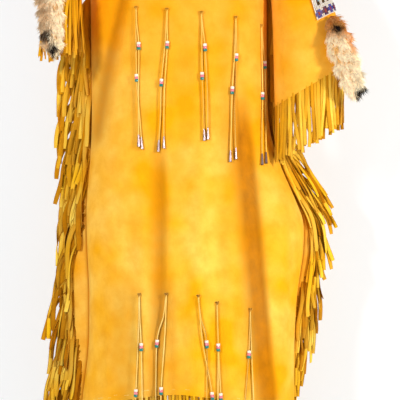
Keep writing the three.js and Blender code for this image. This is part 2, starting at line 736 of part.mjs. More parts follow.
// ---------------------------------------------------------------- the dress
const hide = new THREE.MeshStandardMaterial({ color: "#f2ab2b", roughness: 0.85 });
const fringeHide = new THREE.MeshStandardMaterial({ color: "#dda029", roughness: 0.85 });
const beadwork = new THREE.MeshStandardMaterial({ color: "#e9e9f2", roughness: 0.35 });
const fur = new THREE.MeshStandardMaterial({ color: "#b98d5c", roughness: 1 });
const thong = new THREE.MeshStandardMaterial({ color: "#f0c558", roughness: 0.8 });

const dress = new THREE.Group();

function add(name, geometry, material) {
  const mesh = new THREE.Mesh(geometry, material);
  mesh.name = name;
  dress.add(mesh);
  return mesh;
}

const front = add("front_panel", bodyPanel(body.front), hide);
add("back_panel", bodyPanel(body.back), hide);
for (const sleeve of SLEEVES) {
  add(`${sleeve.name}_sleeve`, sleeveTube(sleeve), hide);
  add(`${sleeve.name}_cuff_fringe`, cuffFringe(sleeve), fringeHide);
  add(`${sleeve.name}_side_fringe`, sideFringe(sleeve.name), fringeHide);
  add(`${sleeve.name}_beaded_band`, beadedBand(sleeve), beadwork);
  add(`${sleeve.name}_fur_tail`, furTail(sleeve), fur);
}
add("hem_fringe_front", hemFringe(-1), fringeHide);
add("hem_fringe_back", hemFringe(1), fringeHide);

front.updateMatrixWorld(true);
for (const row of TASSELS) add(row.name, tassel(row, front), thong);

export default dress;
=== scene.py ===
# %% [markdown]
# # A beaded buckskin dress
# Two soft golden hides are sewn at the sides and shoulders, with open sleeves, long cut fringes,
# beaded shoulder bands, fur tails and rows of thong tassels. The dress hangs as it is worn, hollow
# and a little askew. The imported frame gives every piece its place, so each piece below is made
# right where its solid is.

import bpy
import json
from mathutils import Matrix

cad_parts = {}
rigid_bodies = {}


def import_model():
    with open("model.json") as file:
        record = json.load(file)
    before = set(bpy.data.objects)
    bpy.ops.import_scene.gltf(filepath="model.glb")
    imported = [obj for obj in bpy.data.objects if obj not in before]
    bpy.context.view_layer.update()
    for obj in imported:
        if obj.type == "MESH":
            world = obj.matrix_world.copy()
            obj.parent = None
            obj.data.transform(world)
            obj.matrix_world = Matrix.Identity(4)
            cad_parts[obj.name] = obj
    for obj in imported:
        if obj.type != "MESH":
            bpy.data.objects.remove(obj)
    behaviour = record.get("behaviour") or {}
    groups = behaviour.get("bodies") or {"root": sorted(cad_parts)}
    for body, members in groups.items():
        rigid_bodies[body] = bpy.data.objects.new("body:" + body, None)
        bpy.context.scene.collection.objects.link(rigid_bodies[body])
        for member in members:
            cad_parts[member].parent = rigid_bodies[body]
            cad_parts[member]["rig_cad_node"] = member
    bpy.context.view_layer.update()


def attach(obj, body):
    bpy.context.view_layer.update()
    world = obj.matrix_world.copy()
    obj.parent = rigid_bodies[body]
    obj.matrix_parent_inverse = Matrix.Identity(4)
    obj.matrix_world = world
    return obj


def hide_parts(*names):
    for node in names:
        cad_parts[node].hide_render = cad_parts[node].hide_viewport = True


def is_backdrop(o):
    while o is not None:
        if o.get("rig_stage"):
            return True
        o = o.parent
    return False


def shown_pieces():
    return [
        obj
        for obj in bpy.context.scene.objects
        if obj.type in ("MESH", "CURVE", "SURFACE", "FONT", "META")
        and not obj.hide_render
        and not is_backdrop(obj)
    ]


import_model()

import json
import math

import bpy
import numpy as np
from mathutils import Vector

MM = 0.001  # the tables below are in millimetres, and Blender is in metres

# %% [markdown]
# ## Small helpers
# Nodes are added by one function, and short ones on top of it make the few kinds that come up again
# and again. Colours are written as sRGB hex values, and a table has a name for each of its columns.

# %% Helpers for nodes, colours and tables
def first_output(node):
    return next(socket for socket in node.outputs if socket.enabled)


def feed(tree, node, inputs):
    """Sets inputs. One takes a value, a socket, or another node, which gives its first output."""
    for name, value in dict(inputs).items():
        if isinstance(name, int):
            socket = node.inputs[name]
        else:
            socket = next(s for s in node.inputs if s.enabled and name in (s.identifier, s.name))
        if isinstance(value, bpy.types.Node):
            value = first_output(value)
        if isinstance(value, bpy.types.NodeSocket):
            tree.links.new(value, socket)
        else:
            socket.default_value = value


def add(tree, kind, inputs=(), **settings):
    """Adds a node with its settings and inputs."""
    node = tree.nodes.new(kind)
    for name, value in settings.items():
        setattr(node, name, value)
    feed(tree, node, inputs)
    return node


def colour(code):
    """A linear colour from an sRGB hex value."""
    parts = [int(code[i : i + 2], 16) / 255 for i in (1, 3, 5)]
    return [c / 12.92 if c <= 0.04045 else ((c + 0.055) / 1.055) ** 2.4 for c in parts] + [1.0]


def blend(tree, share, a, b):
    """One colour mixed into another. A colour is a hex value, linear parts, a socket or a node."""
    a, b = (colour(c) if isinstance(c, str) else c for c in (a, b))
    return add(tree, "ShaderNodeMix", {"Factor": share, "A_Color": a, "B_Color": b}, data_type="RGBA")


def remap(tree, value, low=0.0, high=1.0, to_low=0.0, to_high=1.0):
    return add(tree, "ShaderNodeMapRange", {
        "Value": value, "From Min": low, "From Max": high, "To Min": to_low, "To Max": to_high})


def maths(tree, operation, a, b):
    return add(tree, "ShaderNodeMath", {0: a, 1: b}, operation=operation)


def vector_maths(tree, operation, a, b=None):
    inputs = {0: a} if b is None else {0: a, "Scale" if operation == "SCALE" else 1: b}
    return add(tree, "ShaderNodeVectorMath", inputs, operation=operation)


def attribute(tree, name, output="Fac"):
    return add(tree, "ShaderNodeAttribute", attribute_name=name).outputs[output]


def noise(tree, scale, detail, **inputs):
    """Noise that is fixed to the cloth, glass or fur, since it reads places on the object."""
    place = add(tree, "ShaderNodeTexCoord").outputs["Object"]
    return add(tree, "ShaderNodeTexNoise", {"Vector": place, "Scale": scale, "Detail": detail, **inputs})


def new_material(name):
    material = bpy.data.materials.new(name)
    material.use_nodes = True
    return material, material.node_tree, material.node_tree.nodes["Principled BSDF"]


def placed(name, data):
    """A new object at the origin, put in the scene."""
    thing = bpy.data.objects.new(name, data)
    bpy.context.scene.collection.objects.link(thing)
    return thing


def table(names, rows):
    return dict(zip(names.split(), np.array(rows, float).T))


def ease(share):
    share = np.clip(share, 0, 1)
    return share * share * (3 - 2 * share)


def mix(a, b, share):
    return a + (b - a) * share


def halved(is_low, low, high, steps=30):
    """The place between low and high where is_low stops being true."""
    for _ in range(steps):
        middle = (low + high) / 2
        below = is_low(middle)
        low, high = np.where(below, middle, low), np.where(below, high, middle)
    return (low + high) / 2


def run_along(points):
    """How far each point of a line lies from its start."""
    return np.r_[0, np.cumsum(np.linalg.norm(np.diff(points, axis=0), axis=1))]


def read_rows(places, run, rows):
    """Rows of points read at other places along their run."""
    flat = rows.reshape(len(rows), -1)
    read = np.stack([np.interp(places, run, column) for column in flat.T], -1)
    return read.reshape(len(places), *rows.shape[1:])


def unit(vectors):
    return vectors / np.maximum(np.linalg.norm(vectors, axis=-1, keepdims=True), 1e-9)


print("helpers ready")

# %% [markdown]
# ## The cut of the dress
# These are the maker's sizes, the same that the solids were made from: level sections of the body,
# the neck, the armholes and the hem. The whole dress drops a little towards the wearer's left.

# %% Sizes of the body
HIDE = 2  # thickness of the buckskin
SEAM_GAP = 0.3
SLEEVE_GAP = 1.4
DROP = 0.12  # fall towards the wearer's left, for each mm across
SQUARENESS = 2.3
ARMPIT = -205
SHOULDER_TIP = dict(x=200, z=-38)
NECK = dict(half=95, front=75, back=25, share=0.42)
ARMHOLE = dict(depth=50, inset=26, reach=4)
HEM = dict(middle=-1208, left_drop=45, right_drop=75, half=270, bend=1.6)
HEM_STRIP = 2  # hide below the hem line, before the slits of its fringe begin
SECTIONS = table("z left right front back seam", [
    (-100, -224, 203, -124, 112, 90),
    (-230, -226, 204, -128, 118, 90),
    (-510, -223, 206, -132, 122, 90),
    (-590, -224, 214, -136, 126, 90),
    (-666, -228, 238, -142, 131, 90),
    (-750, -235, 274, -150, 138, 90),
    (-800, -236, 292, -154, 141, 90),
    (-870, -234, 293, -159, 145, 90),
    (-930, -231, 285, -162, 148, 91),
    (-990, -229, 277, -165, 150, 94),
    (-1110, -231, 271, -169, 154, 103),
    (-1230, -245, 271, -172, 158, 112),
    (-1300, -250, 275, -174, 160, 112),
])

# %% [markdown]
# Soft hide falls in broad troughs and ridges. Each row is one of them: where it starts and ends,
# how far across it lies at its top, middle and bottom, its depth (a ridge is negative), and how
# widely it spreads on its left and on its right, because one side of a real fold is steeper. The
# shallow ones at the end of each table are creases that only the finished cloth has. A cloth
# simulation would find folds of its own, but these have to lie where the solids have them.

# %% Folds
FOLD_COLUMNS = "top bottom x0 x1 x2 depth left right"
FRONT_FOLDS = table(FOLD_COLUMNS, [
    (-150, -560, -120, -167, -202, 11.5, 20, 16),
    (-540, -1260, -58, -44, -70, 12, 26, 14),
    (-900, -1260, -34, -30, -26, 7, 20, 14),
    (-560, -1260, 44, 44, 30, -10, 26, 30),
    (-430, -1270, 138, 169, 214, 20, 36, 17),
    (-740, -1120, 232, 240, 240, -9, 26, 26),
    (-900, -1260, -150, -158, -150, 5, 30, 30),
    (-250, -620, 108, 96, 104, 3, 22, 16),
    (-330, -700, 8, 14, -4, 2.5, 26, 20),
    (-640, -1180, 96, 88, 92, 3, 26, 16),
    (-700, -1250, -118, -112, -122, 3, 24, 18),
    (-860, -1250, 0, 6, -4, 2.5, 16, 12),
])
BACK_FOLDS = table(FOLD_COLUMNS, [
    (-330, -1260, -120, -135, -170, 12, 30, 30),
    (-500, -1260, -30, -38, -60, 8, 28, 28),
    (-420, -1260, 60, 74, 90, 13, 32, 32),
    (-640, -1260, 150, 168, 190, 9, 26, 26),
    (-560, -1200, 15, 18, 12, -7, 30, 30),
    (-260, -760, -76, -66, -84, 3, 20, 26),
    (-300, -700, 112, 104, 118, 3, 24, 18),
    (-800, -1250, -92, -98, -104, 3, 18, 24),
    (-760, -1250, 42, 36, 46, 2.5, 20, 14),
])
FOLDS = {-1: FRONT_FOLDS, 1: BACK_FOLDS}  # -1 is the front and 1 the back


def fold_depth(folds, x, z):
    depth = np.zeros_like(x)
    for top, bottom, x0, x1, x2, deep, left, right in zip(*folds.values()):
        share = (top - z) / (top - bottom)
        line = (1 - share) ** 2 * x0 + 2 * share * (1 - share) * x1 + share**2 * x2
        width = np.where(x < line, left, right)
        there = ease(share / 0.25) * ease((1.2 - share) / 0.15)
        depth += deep * there * np.exp(-(((x - line) / width) ** 2))
    return depth


print(len(FRONT_FOLDS["top"]), "folds in front,", len(BACK_FOLDS["top"]), "behind")

# %% [markdown]
# ## The form of the body
# A point of a panel is found from how far across it lies (u, from seam to seam) and its height.
# Below the armpits the section is a rounded oblong; above them the panel arches over to the neck
# and the shoulder seam. The form could be sculpted, but a form that is a function also tells the
# fringes, stitches and tassels where the cloth is.

# %% Points of the body
def along(rows, column):
    """A smooth curve through one column of a table, read at any height."""
    z, value = rows["z"], rows[column]
    after, before = np.r_[1 : len(z), len(z) - 1], np.r_[0, 0 : len(z) - 1]
    slope = (value[after] - value[before]) / (z[after] - z[before])

    def read(height):
        height = np.clip(height, z[-1], z[0])
        i = np.clip(np.searchsorted(-z, -height, side="right") - 1, 0, len(z) - 2)
        span = z[i + 1] - z[i]
        s = (height - z[i]) / span
        flat = 2 * s**3 - 3 * s**2
        ends = value[i] * (flat + 1) - value[i + 1] * flat
        return ends + span * (slope[i] * (s**3 - 2 * s**2 + s) + slope[i + 1] * (s**3 - s**2))

    return read


left_edge, right_edge = along(SECTIONS, "left"), along(SECTIONS, "right")
front_depth, back_depth = along(SECTIONS, "front"), along(SECTIONS, "back")
seam_angle = along(SECTIONS, "seam")


def rounded(value):
    return np.sign(value) * np.abs(value) ** (2 / SQUARENESS)


def body_point(face, u, z):
    """face is -1 for the front and 1 for the back; u runs from -1 at the wearer's right to 1."""
    u, z = np.broadcast_arrays(np.asarray(u, float), np.asarray(z, float))
    seam = np.where(u > 0, seam_angle(z), 90)
    angle = np.radians(u * seam if face < 0 else 180 - u * (180 - seam))
    middle, half = (left_edge(z) + right_edge(z)) / 2, (right_edge(z) - left_edge(z)) / 2
    depth_middle, half_depth = (front_depth(z) + back_depth(z)) / 2, (back_depth(z) - front_depth(z)) / 2
    x = middle + half * rounded(np.sin(angle))
    out = -rounded(np.cos(angle))
    calm = np.clip(np.minimum(2 * np.abs(out), 10 * (1 - np.abs(u))), 0, 1)
    pressed = -face * fold_depth(FOLDS[face], x, z) * calm
    return np.stack([x, depth_middle + half_depth * out + pressed + face * SEAM_GAP / 2, z], -1)


def hem_height(x):
    fall = np.where(x < 0, HEM["left_drop"], HEM["right_drop"])
    return HEM["middle"] - fall * np.abs(x / HEM["half"]) ** HEM["bend"]


def armpit_point(face, u):
    return body_point(face, u, ARMPIT - DROP * body_point(face, u, ARMPIT)[..., 0])


def hem_point(face, u, below=0):
    return body_point(face, u, hem_height(body_point(face, u, HEM["middle"])[..., 0]) - below)


def shoulder_height(x):
    out = (np.abs(x) - NECK["half"]) / (SHOULDER_TIP["x"] - NECK["half"])
    return SHOULDER_TIP["z"] * np.clip(out, 0, 1) - DROP * x


def yoke_point(face, u, v):
    """v runs from 0 at the armpits' level to 1 at the neck and the shoulder seam."""
    u, v = np.broadcast_arrays(np.asarray(u, float), np.asarray(v, float))
    share, side = np.abs(u) / NECK["share"], np.sign(u)
    bend = np.minimum(share, 1) * math.pi / 2
    out = (np.abs(u) - NECK["share"]) / (1 - NECK["share"])
    reach = np.where(share < 1, NECK["half"] * np.sin(bend), mix(NECK["half"], SHOULDER_TIP["x"], out))
    top_x = side * reach
    top_y = np.where(share < 1, (-NECK["front"] if face < 0 else NECK["back"]) * np.cos(bend), 0)
    base = armpit_point(face, u)
    depth_middle = (front_depth(base[..., 2]) + back_depth(base[..., 2])) / 2 + face * SEAM_GAP / 2
    depth = base[..., 1] - depth_middle
    end = np.arccos(np.clip(top_y / np.where(np.abs(depth) < 1e-6, 1e-6 * face, depth), 0, 1))
    edge = np.abs(u) ** ARMHOLE["reach"] * np.sin(math.pi * v)
    x = mix(base[..., 0], top_x, ease(v)) - side * ARMHOLE["inset"] * edge
    y = mix(depth_middle, face * SEAM_GAP / 2, v) + depth * np.cos(end * v) + face * ARMHOLE["depth"] * edge
    return np.stack([x, y, mix(base[..., 2], shoulder_height(top_x), np.sin(end * v))], -1)


print("the front's middle at the hem:", np.round(hem_point(-1, 0.0)).tolist())

# %% [markdown]
# ## Cloth as a thin closed wall
# A sheet of hide is a grid of outer points and the same grid moved inwards by its thickness, closed
# round its edges. The closed wall shows a real cut edge at the hem, cuffs and neck. A Solidify
# modifier makes such a wall too; here it is built by hand, because two panels share one direction
# along their seam.

# %% Walls from grids
PANEL = dict(columns=112, yoke_rows=30, skirt_rows=124)
BODY_MIDDLE = np.array([0, 0, -600])
TOUCHING = 1  # points of the two faces closer than this lie on one seam


def grid_normals(grid, looped, middle):
    down = np.gradient(grid, axis=0)
    if looped:
        around = (np.roll(grid, -1, axis=1) - np.roll(grid, 1, axis=1)) / 2
    else:
        around = np.gradient(grid, axis=1)
    normals = unit(np.cross(down, around))
    return normals * (np.sign(((grid - middle) * normals).sum()) or 1)


def wall_faces(rows, columns, looped):
    """Quads of a closed wall whose inner grid follows its outer one."""
    at = np.arange(2 * rows * columns).reshape(2, rows, columns)
    if looped:
        at = np.concatenate([at, at[:, :, :1]], axis=2)
    outer, inner = at
    faces = []
    for grid, step in ((outer, 1), (inner, -1)):
        quads = np.stack([grid[:-1, :-1], grid[1:, :-1], grid[1:, 1:], grid[:-1, 1:]], -1)
        faces.append(quads.reshape(-1, 4)[:, ::step])
    rims = [(outer[0], inner[0]), (inner[-1], outer[-1])]
    if not looped:
        rims += [(inner[:, 0], outer[:, 0]), (outer[:, -1], inner[:, -1])]
    for a, b in rims:
        faces.append(np.stack([a[:-1], a[1:], b[1:], b[:-1]], -1))
    return np.concatenate(faces)


def tube_faces(rows, columns):
    """Quads round an open tube whose rings are its rows."""
    index = np.arange(rows * columns).reshape(rows, columns)
    beyond = np.roll(index, -1, axis=1)
    return np.stack([index[:-1], beyond[:-1], beyond[1:], index[1:]], -1).reshape(-1, 4)


def new_piece(name, points, faces, smooth_angle=50):
    """A finished object at the origin, with its place in its mesh and its faces outwards."""
    points = np.asarray(points, float).reshape(-1, 3) * MM
    mesh = bpy.data.meshes.new(name)
    a, b, c = points[faces[:, 0]], points[faces[:, 1]], points[faces[:, 2]]
    if np.einsum("ij,ij->", a, np.cross(b, c)) < 0:
        faces = faces[:, ::-1]
    mesh.from_pydata(points.tolist(), [], faces.tolist())
    finish_mesh(mesh, smooth_angle)
    return placed(name, mesh)


def finish_mesh(mesh, smooth_angle):
    mesh.polygons.foreach_set("use_smooth", np.ones(len(mesh.polygons), bool))
    mesh.set_sharp_from_angle(angle=math.radians(smooth_angle))
    mesh.update()


def cloth_wall(name, grid, normals, thickness=HIDE, looped=False):
    inner = grid - normals * thickness
    faces = wall_faces(grid.shape[0], grid.shape[1], looped)
    return new_piece(name, np.concatenate([grid.reshape(-1, 3), inner.reshape(-1, 3)]), faces)


MARKS = {1: ("FLOAT", "value"), 3: ("FLOAT_VECTOR", "vector"), 4: ("FLOAT_COLOR", "color")}


def mark(mesh, label, values):
    """Keeps a number, direction or colour for each point, for a tree or a material to read."""
    values = np.asarray(values, np.float32)
    kind, field = MARKS[values.shape[-1] if values.ndim > 1 else 1]
    mesh.attributes.new(label, kind, "POINT").data.foreach_set(field, values.ravel())


def cut_size(grid, looped=False):
    """The widest and longest measure of the flat piece and its area, in metres."""
    closed = np.concatenate([grid, grid[:, :1]], axis=1) if looped else grid
    across = np.linalg.norm(np.diff(closed, axis=1), axis=2)
    down = np.linalg.norm(np.diff(closed, axis=0), axis=2)
    area = (across[:-1] + across[1:]) * (down[:, :-1] + down[:, 1:]) / 4
    return (across.sum(1).max() * MM, down.sum(0).max() * MM), area.sum() * MM * MM


print("wall helpers ready")

# %% [markdown]
# ## Buckskin
# Brain-tanned and smoked deer hide is a suede on both faces: matt, with a short nap that catches
# light along edges, and a colour that clouds from pale gold to smoky orange over the hide. The clouds
# are noise at the size of a hand, the nap is fine noise in the bump, drawn at 2 mm so that it shows.
# Painted pictures could give the same, but noise needs no unfolding and has no seams of its own.

# %% Suede material
# The last of these colours is painted shade, for the hollows of folds and the groove beside the side seams.
GOLD, PALE, SMOKED, HOLLOW_SHADE = "#fbb20c", "#ffce58", "#e08c00", "#9c5800"
EDGE_AND_GAP_SHADE = "#bf6a00"  # painted shade along a strand's edges and between close strands
DEEPEST_GAP_SHADE = "#3c1a02"  # the darkest painted shade, at a strand's very edge and in the deepest gaps
GAP_SHADE_REACH = 14  # strands nearer than this to each other paint shade on each other, in mm
CLOUD_SIZE, BLOTCH_SIZE, NAP_SIZE = 150, 34, 2.2  # mm
UPPER_DARKENING_END = -900  # height where the darker tone towards the shoulders fades out


def suede(name, plain, pale, dark, deep, cut=False):
    """Suede in four shades of one colour. Cut strands get painted shade at edges and in gaps."""
    material, tree, shader = new_material(name)
    clouds, blotches, grain = (
        remap(tree, noise(tree, 1 / (size * MM), detail, Roughness=0.6), low, high)
        for size, detail, low, high in ((CLOUD_SIZE, 2.0, 0.36, 0.64), (BLOTCH_SIZE, 3.0, 0.35, 0.7),
                                        (NAP_SIZE, 2.0, 0.3, 0.7)))
    base = blend(tree, clouds, plain, pale)
    if cut:
        # Each strand's own tone, from its shade attribute, which also carries painted shade at roots and on
        # strands behind.
        base = blend(tree, attribute(tree, "shade"), deep, base)
        # Painted shade along each strand's edges (rim) and where strands lie close (ambient occlusion).
        near = add(tree, "ShaderNodeAmbientOcclusion", {"Distance": GAP_SHADE_REACH * MM}, samples=4).outputs["AO"]
        rim = remap(tree, attribute(tree, "rim"), 0.68, 1.0, 0.0, 0.95)
        painted_gap_shade = remap(tree, near, 0.25, 0.8, 1.0, 0.0)
        for share in (rim, painted_gap_shade):
            base = blend(tree, share, base, EDGE_AND_GAP_SHADE)
            base = blend(tree, maths(tree, "POWER", share, 1.3), base, DEEPEST_GAP_SHADE)
    place = add(tree, "ShaderNodeTexCoord").outputs["Object"]
    height = add(tree, "ShaderNodeSeparateXYZ", {"Vector": place}).outputs["Z"]
    # Darker towards the shoulders.
    upper_darkening = remap(tree, height, UPPER_DARKENING_END * MM, 0.0, 0.0, 0.75)
    base = blend(tree, upper_darkening, base, dark)
    # Painted shade in the hollows of folds and in the groove beside the side seams.
    base = blend(tree, attribute(tree, "painted_hollow_shade"), base, deep)
    for pattern, strength in ((blotches, 0.4), (grain, 0.12)):
        base = blend(tree, maths(tree, "MULTIPLY", pattern, strength), base, dark)
    nap = add(tree, "ShaderNodeBump", {"Height": grain, "Strength": 0.28, "Distance": 0.0006})
    soft = add(tree, "ShaderNodeBump", {
        "Height": blotches, "Strength": 0.35, "Distance": 0.0015, "Normal": nap})
    feed(tree, shader, {
        "Base Color": base, "Roughness": remap(tree, grain, to_low=0.78, to_high=0.95), "Normal": soft,
        "Sheen Weight": 0.02, "Sheen Roughness": 0.55, "Specular IOR Level": 0.08})
    return material


buckskin = suede("smoked_buckskin", GOLD, PALE, SMOKED, HOLLOW_SHADE)
# For cut strands the fourth colour is each strand's darkest tone, which also serves as painted shade.
fringe_hide = suede("cut_fringe_hide", "#ffca20", "#ffe568", "#eca40c", "#a46200", cut=True)
thong_hide = suede("pale_thong_hide", "#fcd062", "#fee08a", "#dca028", "#b97c10", cut=True)
print("suedes:", buckskin.name, fringe_hide.name, thong_hide.name)

# %% [markdown]
# ## Front and back
# Both panels are made in one way, and meet at the shoulders and the sides. Where they meet, both
# take the mean direction, so their edges end square to the seam.

# %% The two panels
HOLLOW_SHADE_DEPTH, DARKEST_HOLLOW_SHADE = 16, 0.85  # painted shade in the hollows of deep folds: the fold depth that gets it fully, and its darkest share


def panel_grid(face):
    u = np.linspace(-1, 1, PANEL["columns"] + 1)
    v = np.linspace(1, 0, PANEL["yoke_rows"] + 1)[:-1]
    share = np.linspace(0, 1, PANEL["skirt_rows"] + 1)
    top, bottom = armpit_point(face, u)[:, 2], hem_point(face, u, HEM_STRIP)[:, 2]
    skirt = body_point(face, u[None], mix(top[None], bottom[None], share[:, None]))
    return np.concatenate([yoke_point(face, u[None], v[:, None]), skirt])


panels = {face: panel_grid(face) for face in (-1, 1)}
panel_normals = {face: grid_normals(grid, False, BODY_MIDDLE) for face, grid in panels.items()}
for normals in panel_normals.values():
    normals[-1, :, 2] = 0
    normals[-1] = unit(normals[-1])
meeting = np.linalg.norm(panels[-1] - panels[1], axis=2) < TOUCHING
shared = unit(panel_normals[-1] + panel_normals[1])
body_pieces = {}
for face, name in ((-1, "front_panel"), (1, "back_panel")):
    panel_normals[face][meeting] = shared[meeting]
    piece = cloth_wall(name + "_hide", panels[face], panel_normals[face])
    x, _, z = np.moveaxis(panels[face], -1, 0)
    # Painted shade in the hollows, darker as the fold is deeper.
    painted_hollow_shade = np.clip(fold_depth(FOLDS[face], x, z) / HOLLOW_SHADE_DEPTH, 0, 1)
    mark(piece.data, "painted_hollow_shade", np.tile((DARKEST_HOLLOW_SHADE * painted_hollow_shade).ravel(), 2))
    piece.data.materials.append(buckskin)
    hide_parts(name)
    body_pieces[face] = piece
    print(piece.name, len(piece.data.polygons), "faces")

# %% [markdown]
# ## Sleeves
# A sleeve is an open tube that leaves the armhole and falls to a slanting cuff. It is drawn as
# curves from each point of the armhole to the matching point of the cuff. A bent cylinder would be
# quicker, but its mouth wouldn't fit the armhole.

# %% Sleeve tubes
SLEEVES = {
    "left": dict(side=1, x=305, y=-60, z=-468, half=97, depth=62, slope=30.3,
                 leave=(75, 23), arrive=(180, 200)),
    "right": dict(side=-1, x=-290, y=-92, z=-256, half=48, depth=80, slope=-8,
                  leave=(60, 16), arrive=(100, 45)),
}
SLEEVE_MESH = dict(around=120, along=64)
CUFF_STRIP = 8  # hide below the cuff line, before the slits begin


def sleeve_point(sleeve, turn, s):
    """turn 0 is the sleeve's top, 0.25 its front and 0.5 under the arm; s runs down to the cuff."""
    turn, s = np.broadcast_arrays(np.asarray(turn, float) % 1, np.asarray(s, float))
    swing, side = 2 * math.pi * turn, sleeve["side"]
    upper = (1 + np.cos(swing)) / 2
    slope = math.radians(sleeve["slope"])
    rim = np.stack([
        sleeve["x"] + side * sleeve["half"] * np.cos(swing) * math.cos(slope),
        sleeve["y"] - sleeve["depth"] * np.sin(swing),
        sleeve["z"] + sleeve["half"] * np.cos(swing) * math.sin(slope),
    ], -1)
    outwards = np.stack([side * mix(0.76, 0.93, upper), 0 * upper, mix(-0.65, -0.37, upper)], -1)
    ahead = yoke_point(-1, side * np.ones_like(turn), 1 - 2 * turn)
    behind = yoke_point(1, side * np.ones_like(turn), 2 * turn - 1)
    start = np.where((turn <= 0.5)[..., None], ahead, behind) + outwards * SLEEVE_GAP
    first = start + outwards * mix(sleeve["leave"][1], sleeve["leave"][0], upper)[..., None]
    above = mix(sleeve["arrive"][1], sleeve["arrive"][0], upper)
    last = rim + np.stack([-side * 6 + 0 * above, 0 * above, above], -1)
    t = s[..., None]
    return (1 - t) ** 3 * start + 3 * t * (1 - t) ** 2 * first + 3 * t**2 * (1 - t) * last + t**3 * rim


def sleeve_grid(sleeve, drop=0):
    turns = np.arange(SLEEVE_MESH["around"]) / SLEEVE_MESH["around"]
    rows = sleeve_point(sleeve, turns[None], np.linspace(0, 1, SLEEVE_MESH["along"] + 1)[:, None])
    return np.concatenate([rows, rows[-1:] - [0, 0, drop]]) if drop else rows


sleeve_pieces = {}
sleeve_grids = {}
for name, sleeve in SLEEVES.items():
    grid = sleeve_grid(sleeve, CUFF_STRIP)
    normals = grid_normals(grid, True, np.array([sleeve["x"], sleeve["y"], sleeve["z"] / 2]))
    normals[-2:, :, 2] = 0
    normals[-2:] = unit(normals[-2:])
    piece = cloth_wall(name + "_sleeve_hide", grid, normals, looped=True)
    piece.data.materials.append(buckskin)
    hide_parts(name + "_sleeve")
    sleeve_pieces[name], sleeve_grids[name] = piece, grid
    print(piece.name, len(piece.data.polygons), "faces")

# %% [markdown]
# ## Trees that repeat things
# Two small trees of nodes make nearly everything that is repeated. The first turns loose lines
# into flat strands of hide: each point of a line says which way the strand's width lies. The second
# puts copies of one small thing, such as a bead, on points that say which way each copy is aimed.
# Sweeping and copying is the trees' work; where everything goes is worked out before, in plain sums.

# %% Geometry Nodes for strands and copies
def new_tree(name, *inputs):
    tree = bpy.data.node_groups.new(name, "GeometryNodeTree")
    tree.interface.new_socket("Geometry", in_out="INPUT", socket_type="NodeSocketGeometry")
    for label, kind in inputs:
        tree.interface.new_socket(label, in_out="INPUT", socket_type="NodeSocket" + kind)
    tree.interface.new_socket("Geometry", in_out="OUTPUT", socket_type="NodeSocketGeometry")
    return tree, tree.nodes.new("NodeGroupInput").outputs


def close_tree(tree, made, material):
    real = add(tree, "GeometryNodeRealizeInstances", {"Geometry": made})
    dressed = add(tree, "GeometryNodeSetMaterial", {"Geometry": real, "Material": material})
    add(tree, "NodeGroupOutput", {"Geometry": dressed})
    return tree


def named(tree, label, kind="FLOAT_VECTOR"):
    return add(tree, "GeometryNodeInputNamedAttribute", {"Name": label}, data_type=kind)


def stored(tree, geometry, name, value, kind):
    return add(tree, "GeometryNodeStoreNamedAttribute", {
        "Geometry": geometry, "Name": name, "Value": value}, data_type=kind, domain="POINT")


def instances(tree, points, thing, aim, side, size):
    """Copies of an object on points, each with its Z along aim and its X near side."""
    turned = add(tree, "FunctionNodeAxesToRotation", {"Primary Axis": aim, "Secondary Axis": side},
                 primary_axis="Z", secondary_axis="X")
    shape = add(tree, "GeometryNodeObjectInfo", {"Object": thing}).outputs["Geometry"]
    return add(tree, "GeometryNodeInstanceOnPoints", {
        "Points": points, "Instance": shape, "Rotation": turned, "Scale": size})


def strand_tree():
    tree, given = new_tree("strands", ("Width", "Float"), ("Thickness", "Float"), ("Material", "Material"))
    lines = add(tree, "GeometryNodeMeshToCurve", {"Mesh": given["Geometry"]})
    turned = add(tree, "GeometryNodeSetCurveNormal", {"Curve": lines, "Normal": named(tree, "across")},
                 mode="FREE")
    radii = [maths(tree, "MULTIPLY", given[size], 0.5) for size in ("Width", "Thickness")]
    flattened = add(tree, "ShaderNodeCombineXYZ", {"X": radii[0], "Y": radii[1], "Z": 1.0})
    circle = add(tree, "GeometryNodeCurvePrimitiveCircle", {"Resolution": 8, "Radius": 1.0})
    # rim grows towards the strand's edges, for the painted shade there.
    place = add(tree, "ShaderNodeSeparateXYZ", {"Vector": add(tree, "GeometryNodeInputPosition")})
    rim = add(tree, "ShaderNodeMath", {0: place.outputs["X"]}, operation="ABSOLUTE")
    section = add(tree, "GeometryNodeTransform", {
        "Geometry": stored(tree, circle, "rim", rim, "FLOAT"), "Scale": flattened})
    swept = add(tree, "GeometryNodeCurveToMesh", {
        "Curve": turned, "Profile Curve": section, "Scale": named(tree, "swell", "FLOAT"),
        "Fill Caps": True})
    return close_tree(tree, swept, given["Material"])


def copy_tree():
    tree, given = new_tree("copies", ("Copy", "Object"), ("Material", "Material"))
    aim, side, size = (named(tree, label) for label in ("aim", "side", "size"))
    copies = instances(tree, given["Geometry"], given["Copy"], aim, side, size)
    return close_tree(tree, copies, given["Material"])


STRANDS, COPIES = strand_tree(), copy_tree()


def grown(name, host_mesh, tree, smooth_angle=40, **values):
    """The plain mesh that a tree makes from a host mesh, as a finished piece."""
    bearer = placed(name + "_host", host_mesh)
    modifier = bearer.modifiers.new(tree.name, "NODES")
    modifier.node_group = tree
    for item in tree.interface.items_tree:
        if item.in_out == "INPUT" and item.name in values:
            modifier[item.identifier] = values[item.name]
    evaluated = bearer.evaluated_get(bpy.context.evaluated_depsgraph_get())
    mesh = bpy.data.meshes.new_from_object(evaluated)
    mesh.name = name
    bpy.data.objects.remove(bearer)
    finish_mesh(mesh, smooth_angle)
    return placed(name, mesh)


